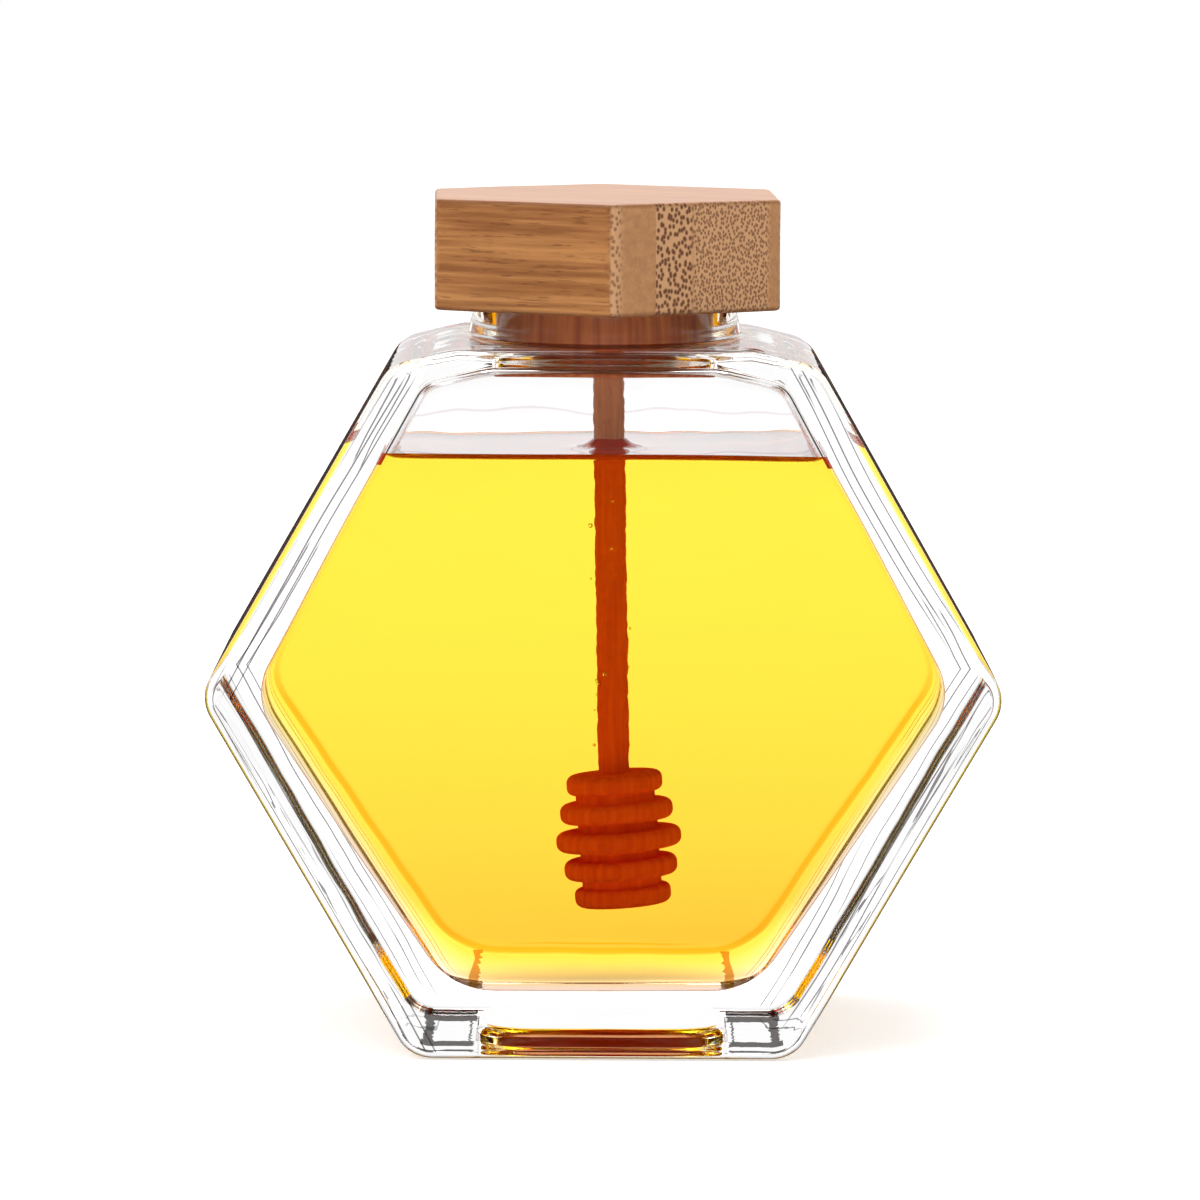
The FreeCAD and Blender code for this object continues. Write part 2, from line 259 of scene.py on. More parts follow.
def rounded_corner(before, corner, after, radius, steps):
    """The arc that rounds a corner of a path, from its first to its last point."""
    corner = Vector(corner)
    come = (Vector(before) - corner).normalized()
    leave = (Vector(after) - corner).normalized()
    opening = come.angle(leave)
    reach = radius / math.tan(opening / 2)
    centre = corner + (come + leave).normalized() * (radius / math.sin(opening / 2))
    first = corner + come * reach - centre
    last = corner + leave * reach - centre
    start = math.atan2(first.y, first.x)
    turn = math.atan2(first.x * last.y - first.y * last.x, first.dot(last))
    return arc(centre, radius, start, turn, steps)


def between(first, last, steps):
    """Points strictly between two points, evenly spaced."""
    return [
        tuple(a + (b - a) * i / steps for a, b in zip(first, last))
        for i in range(1, steps)
    ]


# ---------------------------------------------------------------- the jar's form

class Drum:
    """A block whose front is a hexagon with a low crown, with rounded corners and rims.

    The corners are half widths and heights of the foot, waist, shoulder and crown.
    Columns run across the foot and the crown, and rings run from the front to the back.
    """

    corner_steps = 10
    side_steps = 18
    above_level_steps = 6
    rim_steps = 8
    least_round = 0.3 * MM

    def __init__(self, corners, rounds, half_depth, rim, rim_deep, level=None):
        self.corners = corners
        self.rounds = rounds
        self.half_depth = half_depth
        self.rim = rim
        self.rim_deep = rim_deep
        self.level = level
        self.level_row = 0

    def inset_corners(self, inset):
        """The sharp corners after every line has moved inwards by the inset."""
        foot, waist, shoulder, crown = self.corners
        path = [(0, foot[1]), foot, waist, shoulder, crown, (0, crown[1])]
        lines = []
        for a, b in zip(path, path[1:]):
            along = Vector((b[0] - a[0], b[1] - a[1])).normalized()
            inward = Vector((-along.y, along.x))
            lines.append((Vector(a) + inward * inset, along))
        moved = []
        for (p, u), (q, v) in zip(lines, lines[1:]):
            cross = u.x * v.y - u.y * v.x
            t = ((q.x - p.x) * v.y - (q.y - p.y) * v.x) / cross
            moved.append(tuple(p + u * t))
        return moved

    def side(self, inset):
        """Points up the right side, from the foot's edge to the shoulder's upper end."""
        foot, waist, shoulder, crown = self.inset_corners(inset)
        rounds = [max(r - inset, self.least_round) for r in self.rounds]
        steps = self.corner_steps
        low = rounded_corner((0, foot[1]), foot, waist, rounds[0], steps)
        middle = rounded_corner(foot, waist, shoulder, rounds[1], steps)
        high = rounded_corner(waist, shoulder, crown, rounds[2], steps)
        points = low + between(low[-1], middle[0], self.side_steps) + middle
        if self.level is None:
            return points + between(middle[-1], high[0], self.side_steps) + high
        below, above = middle[-1], high[0]
        share = (self.level - below[1]) / (above[1] - below[1])
        line = (below[0] + (above[0] - below[0]) * share, self.level)
        points += between(below, line, self.side_steps)
        self.level_row = len(points)
        points += [line] + between(line, above, self.above_level_steps) + high
        return points

    def crown_height(self, x, inset=0.0):
        """How high the top is at a half width."""
        shoulder, crown = self.inset_corners(inset)[2:]
        radius = max(self.rounds[3] - inset, self.least_round)
        slope = (crown[1] - shoulder[1]) / (shoulder[0] - crown[0])
        turn = math.atan(slope)
        reach = radius * math.tan(turn / 2)
        x = abs(x)
        if x <= crown[0] - reach:
            return crown[1]
        if x >= crown[0] + reach * math.cos(turn):
            return crown[1] - slope * (x - crown[0])
        return crown[1] - radius + math.sqrt(radius ** 2 - (x - crown[0] + reach) ** 2)

    def stations(self, shares):
        """Where the rings lie, as pairs of a depth and an inset, front to back."""
        straight = self.half_depth - self.rim_deep
        front = []
        for i in range(self.rim_steps):
            turn = math.pi / 2 * (1 - i / self.rim_steps)
            y = -straight - self.rim_deep * math.sin(turn)
            front.append((y, self.rim * (1 - math.cos(turn))))
        middle = [(straight * share, 0.0) for share in shares]
        back = [(-y, inset) for y, inset in reversed(front)]
        return front + middle + back


def evenly(count):
    """Shares from -1 to 1 at even steps, both ends included."""
    return [2 * i / count - 1 for i in range(count + 1)]


def drum_skin(skin, drum, across, deep, move, open_crown=False, open_foot=False, wet=0,
              surface=None):
    """Adds a drum to a skin.

    Across and deep are the shares of the width and the depth where columns and rings lie.
    A crown or foot left open is returned as a loop. A surface is a height for each place
    and inset, and takes the place of all that is above the level.
    """
    rings = []
    stations = drum.stations(deep)
    columns = len(across) - 1
    for y, inset in stations:
        side = drum.side(inset)
        if surface:
            side = side[:drum.level_row + 1]
        right = [(x, y, z) for x, z in side]
        left = [(-x, y, z) for x, z in reversed(side)]
        edge, foot = side[-1][0], side[0]
        top = []
        for share in reversed(across[1:-1]):
            x = edge * share
            z = surface(x, y, edge) if surface else drum.crown_height(x, inset)
            top.append((x, y, z))
        base = [(foot[0] * share, y, foot[1]) for share in across[1:-1]]
        rings.append(skin.ring([move(p) for p in right + top + left + base]))
    rows = len(side)
    around = len(rings[0])
    top_first, top_last = rows - 1, rows - 1 + columns
    base_first = top_last + rows - 1
    flat = [j for j, station in enumerate(stations) if station[1] == 0.0]
    wet_rows = drum.level_row

    def is_wet(i):
        return i < wet_rows or i >= around - columns - wet_rows

    for j, (low, high) in enumerate(zip(rings, rings[1:])):
        open_here = flat[0] <= j < flat[-1]

        def keep(i):
            in_top = top_first <= i < top_last
            in_base = i >= base_first
            return not (open_here and (in_top and open_crown or in_base and open_foot))

        for i in range(around):
            if keep(i):
                k = (i + 1) % around
                skin.face((low[i], low[k], high[k], high[i]), wet if is_wet(i) else 0)

    for ring, (y, inset) in ((rings[0], stations[0]), (rings[-1], stations[-1])):
        previous = ring[base_first:] + [ring[0]]
        for row in range(1, rows):
            right = ring[row]
            left = ring[top_last + rows - 1 - row]
            if row == rows - 1:
                inner = [ring[top_last - i] for i in range(1, columns)]
            else:
                a, b = Vector(skin.points[left]), Vector(skin.points[right])
                inner = skin.ring(a.lerp(b, (1 + share) / 2) for share in across[1:-1])
            current = [left] + inner + [right]
            finish = wet if row <= wet_rows else 0
            skin.band(previous, current, closed=False, finish=finish)
            previous = current

    def window(first, last):
        front = [rings[flat[0]][i % around] for i in range(first, last + 1)]
        back = [rings[flat[-1]][i % around] for i in range(last, first - 1, -1)]
        far = [rings[j][last % around] for j in flat[1:-1]]
        near = [rings[j][first % around] for j in reversed(flat[1:-1])]
        return front + far + back + near

    return window(top_first, top_last), window(base_first, base_first + columns)


def loop_to_ring(skin, loop, points, steps, height):
    """Joins a loop to a ring of as many points, with rings in between at the given height."""
    start = [Vector(skin.points[i]) for i in loop]
    levels = []
    for step in range(1, steps):
        middle = [a.lerp(Vector(b), step / steps) for a, b in zip(start, points)]
        levels.append([(p.x, p.y, height(p.x, p.y)) for p in middle])
    return skin.grow(loop, levels + [points])


def circle(radius, height, count, first_angle, direction):
    """A level ring. The height is a number or a function of x and y."""
    points = []
    for i in range(count):
        turn = first_angle + direction * 2 * math.pi * i / count
        x, y = radius * math.cos(turn), radius * math.sin(turn)
        points.append((x, y, height(x, y) if callable(height) else height))
    return points


def rounded_box(half_x, half_y, corner, height, side_steps, first_corner, direction):
    """A level ring round a rounded rectangle, with its corners at even steps."""
    arc_steps = side_steps // 4
    corners = [(1, -1), (1, 1), (-1, 1), (-1, -1)]
    order = [corners[(first_corner + direction * k) % 4] for k in range(4)]
    points = []
    for k in range(4):
        here, after, before = order[k], order[(k + 1) % 4], order[k - 1]
        sharp = (here[0] * half_x, here[1] * half_y)
        nxt = (after[0] * half_x, after[1] * half_y)
        prv = (before[0] * half_x, before[1] * half_y)
        bend = rounded_corner(prv, sharp, nxt, corner, 2 * arc_steps)
        following = rounded_corner(sharp, nxt, (-sharp[0], -sharp[1]), corner, 2 * arc_steps)
        points += bend[arc_steps:]
        points += between(bend[-1], following[0], side_steps - 2 * arc_steps)
        points += following[:arc_steps]
    return [(x, y, height) for x, y in points]


# half widths and heights of the foot, waist, shoulder and crown
JAR_OUTSIDE = ((29.2 * MM, 0.0), (61.0 * MM, 55.1 * MM), (32.2 * MM, 105.5 * MM),
               (22.8 * MM, 107.8 * MM))
JAR_INSIDE = ((22.9 * MM, 10.0 * MM), (53.3 * MM, 55.1 * MM), (27.4 * MM, 102.7 * MM),
              (17.5 * MM, 105.0 * MM))


def unevenness(point, amount, size, aside):
    """A slow wander of a pressed or poured surface, the same each run."""
    noise.seed_set(WANDER_SEED)
    place_in = Vector(point) / size + Vector((aside, 2 * aside, 3 * aside))
    return noise.noise_vector(place_in) * amount


def back_drop(y, z):
    """How much lower honey meets the glass towards the back than at the front."""
    look = bpy.context.scene.honey_look
    share = ramp(y, -4 * MM, 18 * MM)
    near = ramp(abs(z - contact_height()), 5 * MM, 0)
    return (look.climb - look.back_climb) * share * share * (3 - 2 * share) * near


def inside_point(point):
    """A point of the jar's inside, where the glass followed its mould less closely."""
    settings = bpy.context.scene.jar_sizes
    fade = ramp(point[2], 104 * MM, 98 * MM)
    shift = unevenness(point, settings.inside_wander * fade, 28 * MM, 3.0)
    return tuple(Vector(point) + shift - Vector((0, 0, back_drop(point[1], point[2]))))


def outside_point(point):
    """A point of the jar's outside, true at its foot and round its neck."""
    settings = bpy.context.scene.jar_sizes
    fade = ramp(point[2], 1 * MM, 9 * MM) * ramp(point[2], 106 * MM, 100 * MM)
    shift = unevenness(point, settings.outside_wander * fade, 35 * MM, 7.0)
    return tuple(Vector(point) + shift)


def contact_height():
    """Where honey meets the glass: the level and what it climbs."""
    return HONEY_HIGH.z + bpy.context.scene.honey_look.climb


class JarSizes(bpy.types.PropertyGroup):
    """Sizes of the glass that the frame leaves open."""

    columns: IntProperty(
        name="Columns", description="Faces across the foot and the crown", default=24, min=8)
    bore_radius: length("Bore radius", "Inside of the neck", 17.5 * MM)
    neck_radius: length("Neck radius", "Outside of the neck at its lip", 20.2 * MM)
    neck_foot_radius: length("Neck foot radius", "Outside of the neck at its foot", 21.1 * MM)
    mouth_round: length("Mouth round", "Rounding where the bore opens inside", 0.5 * MM)
    front_wall: length("Front wall", "Thickness of the glass front and back", 5.0 * MM)
    outside_rim: length("Outside rim", "Rounding of the outer rims", 1.6 * MM)
    inside_rim: length("Inside rim", "Rounding of the inner rims", 1.5 * MM)
    inside_rim_deep: length("Inside rim depth", "The same, measured front to back", 1.5 * MM)
    lip_round: length("Lip round", "Rounding of the lip under the lid", 0.8 * MM)
    recess_half_x: length("Recess half width", "Hollow under the foot", 19.25 * MM)
    recess_half_y: length("Recess half depth", "Hollow under the foot", 16.0 * MM)
    recess_height: length("Recess height", "Hollow under the foot", 3.0 * MM)
    recess_corner: length("Recess corner", "Corner radius of the hollow", 9.0 * MM)
    inside_wander: length("Inside wander", "Unevenness of the inner walls", 0.3 * MM)
    outside_wander: length("Outside wander", "Unevenness of the outer walls", 0.1 * MM)


class HoneyLook(bpy.types.PropertyGroup):
    """How the honey stands in the jar and what it does to light."""

    climb: length("Climb", "How far honey climbs the glass", 1.2 * MM)
    back_climb: length("Back climb", "How far it climbs the back wall", 0.25 * MM)
    climb_reach: length("Climb reach", "How far from the wall the climb dies away", 1.0 * MM)
    rod_climb: length("Rod climb", "How far honey climbs the rod", 1.6 * MM)
    rod_reach: length("Rod reach", "How far from the rod the climb dies away", 1.2 * MM)
    wall_overlap: length("Wall overlap", "How far the honey reaches into the wall", 0.15 * MM)
    colour: tint("Colour", "What passes the honey", "#FEF533")
    # painted light: the amber of the climbing edge
    painted_edge_colour: tint("Edge colour", "The climbing edge", "#C8400C")
    edge_slope: angle("Edge slope", "From where on the surface counts as climbing", 11)
    # painted shade: amber round the far corner and dark brown in the near one, for what the
    # rounded corners would bend into view
    far_corner_painted: tint("Far corner", "Honey round the far corner of the space", "#FFA040")
    near_corner_painted: tint("Near corner", "Honey in the near corner, seen along the glass", "#A8602A")
    # painted shade: the honey is tinted warmer and darker towards the bottom
    low_shade_tint: tint("Low tint", "How much warmer the honey is at the bottom", "#FFCFD2")
    warm_low: length("Warm low", "Up to this height it is warmest", 18 * MM)
    warm_high: length("Warm high", "From this height it is palest", 84 * MM)
    density: FloatProperty(
        name="Density", description="How strongly honey colours light, per metre",
        default=60.0, min=0)


def jar_drums():
    half_depth = JAR_HIGH.y
    sizes = bpy.context.scene.jar_sizes
    outside = Drum(
        JAR_OUTSIDE, (6 * MM, 6 * MM, 6 * MM, 9 * MM), half_depth, sizes.outside_rim,
        sizes.outside_rim)
    inside = Drum(
        JAR_INSIDE, (12 * MM, 9 * MM, 5 * MM, 10 * MM), half_depth - sizes.front_wall,
        sizes.inside_rim, sizes.inside_rim_deep, level=contact_height(),
    )
    return outside, inside


def glass_skin(sizes):
    outside, inside = jar_drums()
    skin = Skin()
    columns = sizes.columns
    shares = evenly(columns)

    def turned(radius, height):
        """A ring as the neck has them, with as many points as the loops it joins."""
        return circle(radius, height, 4 * columns, -math.pi / 4, -1)

    # the neck: a fillet from the landing, the side and the lip
    top, foot = drum_skin(
        skin, outside, shares, shares, outside_point, open_crown=True, open_foot=True)
    lip_high = JAR_HIGH.z - LID_GAP
    landing, mouth = outside.corners[3][1], inside.corners[3][1]
    neck, neck_foot, bore = sizes.neck_radius, sizes.neck_foot_radius, sizes.bore_radius
    lip, wide = sizes.lip_round, sizes.mouth_round

    def on_crown(x, y):
        return outside.crown_height(x)

    ring = loop_to_ring(skin, top, turned(neck_foot + 0.9 * MM, on_crown), 4, on_crown)
    profile = [
        (neck_foot + 0.3 * MM, landing + 0.02 * MM), (neck_foot - 0.1 * MM, landing + 0.1 * MM)]
    profile += arc(
        (neck_foot - 0.7 * MM, landing + 0.9 * MM), 0.7 * MM, -math.pi / 3, math.pi / 2.2, 8)
    profile += between(profile[-1], (neck, lip_high - lip), 3)
    profile += arc((neck - lip, lip_high - lip), lip, 0, math.pi / 2, 6)
    profile += arc((bore + lip, lip_high - lip), lip, math.pi / 2, math.pi / 2, 6)
    profile += between((bore, lip_high - lip), (bore, mouth + wide), 4)
    ring = skin.grow(ring, (turned(radius, height) for radius, height in profile))

    # inside: the bore opens with a rounded edge into the room below
    def on_roof(x, y):
        return inside.crown_height(x)

    room_top, _ = drum_skin(
        skin, inside, shares, shares, inside_point, open_crown=True, wet=1)
    opening = loop_to_ring(skin, room_top, turned(bore + wide, on_roof), 4, on_roof)
    mouth_steps = 7
    for i in range(1, mouth_steps + 1):
        turn = math.pi / 2 * i / mouth_steps
        lift = wide * (1 - math.cos(turn))
        opening = skin.grow(opening, [[
            (x, y, z + lift) for x, y, z in turned(bore + wide - wide * math.sin(turn), on_roof)
        ]])
    skin.band(ring, opening)

    # the hollow under the foot: a worn edge, upright sides and a rounded ceiling
    edge, ceiling, ceiling_steps = 0.4 * MM, 1.6 * MM, 8
    steps = [(-edge, 0.0), (-edge * 0.3, edge * 0.3), (0, edge)]
    for i in range(ceiling_steps + 1):
        turn = math.pi / 2 * i / ceiling_steps
        steps.append((
            ceiling * (1 - math.cos(turn)),
            sizes.recess_height - ceiling + ceiling * math.sin(turn),
        ))
    levels = [
        rounded_box(sizes.recess_half_x - inset, sizes.recess_half_y - inset,
                    sizes.recess_corner - inset, height, columns, 3, 1)
        for inset, height in steps
    ]
    ring = loop_to_ring(skin, foot, levels[0], 3, lambda x, y: 0.0)
    skin.close(skin.grow(ring, levels[1:]), (0, 0, sizes.recess_height))
    return skin


# ---------------------------------------------------------------- honey

def crowded(count, places):
    """Shares from -1 to 1 that crowd at each place: where, how many times closer, how wide."""
    fine = 2000
    total, running = 0.0, [0.0]
    for i in range(fine):
        share = 2 * (i + 0.5) / fine - 1
        total += 1 + sum(k * math.exp(-abs(share - at) / wide) for at, k, wide in places)
        running.append(total)
    shares, j = [], 0
    for i in range(count + 1):
        wanted = total * i / count
        while j < fine and running[j + 1] < wanted:
            j += 1
        part = (wanted - running[j]) / (running[min(j + 1, fine)] - running[j] or 1)
        shares.append(max(-1.0, min(1.0, 2 * (j + part) / fine - 1)))
    shares[0], shares[-1] = -1.0, 1.0
    return shares


def rod_at(height):
    """Where the dipper's rod crosses a height, as x."""
    sizes = bpy.context.scene.dipper_sizes
    return sizes.rod_offset + (STOPPER_LOW.z - height) * math.tan(sizes.rod_lean)


def honey_skin(look):
    inside = jar_drums()[1]
    reach = look.wall_overlap
    body = Drum(
        inside.inset_corners(-reach), [r + reach for r in inside.rounds],
        inside.half_depth + reach, inside.rim + reach, inside.rim_deep + reach,
        level=contact_height(),
    )
    rod_x = rod_at(HONEY_HIGH.z)
    rod_radius = bpy.context.scene.dipper_sizes.rod_radius

    def surface(x, y, edge):
        to_side = math.exp(-(edge - abs(x)) / look.climb_reach)
        to_face = math.exp(-(body.half_depth - abs(y)) / look.climb_reach)
        from_rod = max(0.0, math.hypot(x - rod_x, y) - rod_radius)
        walls = 1 - (1 - to_side) * (1 - to_face)
        climb = look.climb - back_drop(y, contact_height())
        wanted = HONEY_HIGH.z + climb * walls
        wanted += look.rod_climb * math.exp(-from_rod / look.rod_reach)
        return wanted + back_drop(y, min(wanted + 0.5 * MM, contact_height()))

    across = crowded(64, ((-1, 8, 0.04), (1, 8, 0.04), (0.02, 4, 0.1)))
    deep = crowded(48, ((0, 3, 0.15),))
    skin = Skin()
    drum_skin(skin, body, across, deep, inside_point, surface=surface)
    return skin


# ---------------------------------------------------------------- lid and stopper

class LidSizes(bpy.types.PropertyGroup):
    """The bamboo block on the neck."""

    corner_radius: length("Corner radius", "From the axis to the sharp corners", 30.3 * MM)
    corner_round: length("Corner round", "Rounding of the upright corners", 2.0 * MM)
    edge_round: length("Edge round", "Rounding of the level edges", 0.6 * MM)
    turn: angle("Turn", "How far the block is turned, seen from above", 1.5)
    lath: length("Lath", "After how much the glued laths repeat", 26.24 * MM)
    pale: tint("Pale", "Bamboo between its fibres", "#C2854A")
    dark: tint("Dark", "Bamboo fibres", "#8E5628")
    warm: tint("Warm", "Broad warm streaks", "#9A5C28")
    # painted light: the top is paler for the light that falls on it from above
    top: tint("Top", "Bamboo on the top, which is sanded the finest", "#D9A98E")
    cut: tint("Cut", "Bamboo at the cut ends", "#BE8C60")
    cut_pale: tint("Cut pale", "Bamboo between the dark strands", "#D2A072")
    strand: tint("Strand", "Dark strands", "#5C2E14")
    wander: length("Wander", "Unevenness left by sanding", 0.06 * MM)


def lid_outline(sizes, inset):
    """A hexagon with one corner to the front, as points in XY."""
    radius = sizes.corner_radius - inset / math.cos(math.pi / 6)
    rounding = max(sizes.corner_round - inset, 0.2 * MM)
    corners = []
    for i in range(6):
        turn = math.radians(60 * i - 90) + sizes.turn
        corners.append((radius * math.cos(turn), radius * math.sin(turn)))
    bends = [
        rounded_corner(corners[i - 1], corners[i], corners[(i + 1) % 6], rounding, 8)
        for i in range(6)
    ]
    points = []
    for i in range(6):
        points += bends[i] + between(bends[i][-1], bends[(i + 1) % 6][0], 14)
    return points


def lid_skin(sizes):
    skin = Skin()
    low, high = LID_LOW.z, LID_HIGH.z
    edge, edge_steps, side_steps = sizes.edge_round, 4, 8
    levels = []
    for i in range(edge_steps + 1):
        turn = math.pi / 2 * i / edge_steps
        levels.append((edge * (1 - math.sin(turn)), low + edge * (1 - math.cos(turn))))
    levels += [
        (0.0, low + edge + (high - low - 2 * edge) * i / side_steps)
        for i in range(1, side_steps)
    ]
    levels += [(inset, low + high - z) for inset, z in reversed(levels[:edge_steps + 1])]
    outlines = []
    for inset, z in levels:
        points = [(x, y, z) for x, y in lid_outline(sizes, inset)]
        outlines.append([
            Vector(p) + unevenness(p, sizes.wander, 12 * MM, 1.0) for p in points])
    lowest = skin.ring(outlines[0])
    highest = skin.grow(lowest, outlines[1:])
    skin.close(lowest, (0, 0, low))
    skin.close(highest, (0, 0, high))
    return skin


class StopperSizes(bpy.types.PropertyGroup):
    """The turned plug in the neck."""

    radius: length("Radius", "Clear of the bore all round", 17.2 * MM)
    rim_round: length("Rim round", "Rounding of its lower rim", 0.8 * MM)
    dish: length("Dish", "How far its underside is hollowed", 0.3 * MM)


def stopper_skin(sizes):
    skin = Skin()
    low, high = STOPPER_LOW.z, STOPPER_HIGH.z
    radius, rim, around = sizes.radius, sizes.rim_round, 96
    profile = [
        (radius * share, low + sizes.dish * (1 - share ** 2)) for share in (0.2, 0.4, 0.6, 0.8)
    ]
    profile += arc((radius - rim, low + rim), rim, -math.pi / 2, math.pi / 2, 6)
    profile += between(profile[-1], (radius, high), 8) + [(radius, high)]
    profile += [(radius * share, high) for share in (0.75, 0.5, 0.25)]
    levels = [circle(r, z, around, 0.0, 1) for r, z in profile]
    lowest = skin.ring(levels[0])
    highest = skin.grow(lowest, levels[1:])
    skin.cap(lowest, (0, 0, low + sizes.dish))
    skin.cap(highest, (0, 0, high))
    return skin


# ---------------------------------------------------------------- dipper

class DipperSizes(bpy.types.PropertyGroup):
    """The turned honey dipper that hangs from the stopper."""

    rod_radius: length("Rod radius", "Half the rod's thickness", 2.4 * MM)
    rod_socket: length("Rod socket", "How far the rod goes up into the stopper", 5.0 * MM)
    rod_root: length("Rod root", "How far the rod goes down into the head", 3.0 * MM)
    rod_offset: length("Rod offset", "From the axis, under the stopper", 0.6 * MM)
    rod_lean: angle("Rod lean", "From upright", 1.0)
    rod_wander: length("Rod wander", "Unevenness of the rod's side", 0.6 * MM)
    head_lean: angle("Head lean", "From upright", 4.6)
    head_lift: length("Head lift", "From the jar's floor to the head's top", 31.2 * MM)
    disc_count: IntProperty(name="Discs", description="Discs of the head", default=5, min=1)
    disc_pitch: length("Disc pitch", "From disc to disc", 4.4 * MM)
    disc_height: length("Disc height", "Thickness of a disc", 3.0 * MM)
    disc_round: length("Disc round", "Rounding of a disc's rim", 1.2 * MM)
    groove_round: length("Groove round", "Rounding at the bottom of a groove", 0.45 * MM)
    middle_radius: length("Middle radius", "Radius of the middle disc", 9.65 * MM)
    radius_drop: length("Radius drop", "How much narrower the next disc is", 0.95 * MM)
    core_radius: length("Core radius", "Radius between the discs", 6.1 * MM)


def new_tree(name, inputs):
    """A geometry tree with named inputs, and its input and output nodes."""
    tree = bpy.data.node_groups.new(name, "GeometryNodeTree")
    for label, kind in inputs:
        tree.interface.new_socket(label, in_out="INPUT", socket_type=kind)
    tree.interface.new_socket("Geometry", in_out="OUTPUT", socket_type="NodeSocketGeometry")
    given = add(tree, "NodeGroupInput")
    return tree, given.outputs


def run_tree(name, tree, values, material):
    """Makes a plain mesh object from a geometry tree with its inputs set by name."""
    blank = bpy.data.meshes.new(name + "_blank")
    host = bpy.data.objects.new(name, blank)
    bpy.context.scene.collection.objects.link(host)
    modifier = host.modifiers.new("shape", "NODES")
    modifier.node_group = tree
    for item in tree.interface.items_tree:
        if item.in_out == "INPUT" and item.name in values:
            modifier[item.identifier] = values[item.name]
        elif item.in_out == "INPUT" and item.name == "Material":
            modifier[item.identifier] = material
    bpy.context.view_layer.update()
    seen = host.evaluated_get(bpy.context.evaluated_depsgraph_get())
    mesh = bpy.data.meshes.new_from_object(seen)
    mesh.name = name
    host.modifiers.remove(modifier)
    host.data = mesh
    bpy.data.meshes.remove(blank)
    return host


def finish_tree(tree, geometry, material):
    """Smooths what a tree has made, makes it real and gives it its material."""
    smooth = add(tree, "GeometryNodeSetShadeSmooth", (geometry,))
    real = add(tree, "GeometryNodeRealizeInstances", (smooth,))
    finished = add(tree, "GeometryNodeSetMaterial", {"Geometry": real, "Material": material})
    add(tree, "NodeGroupOutput", (finished,))
    return tree


# what the dipper's tree takes from its settings
DIPPER_INPUTS = (
    "Disc Pitch", "Disc Height", "Disc Round", "Groove Round", "Middle Radius", "Radius Drop",
    "Core Radius", "Rod Radius", "Rod Root", "Rod Wander", "Head Lean", "Rod Lean",
)


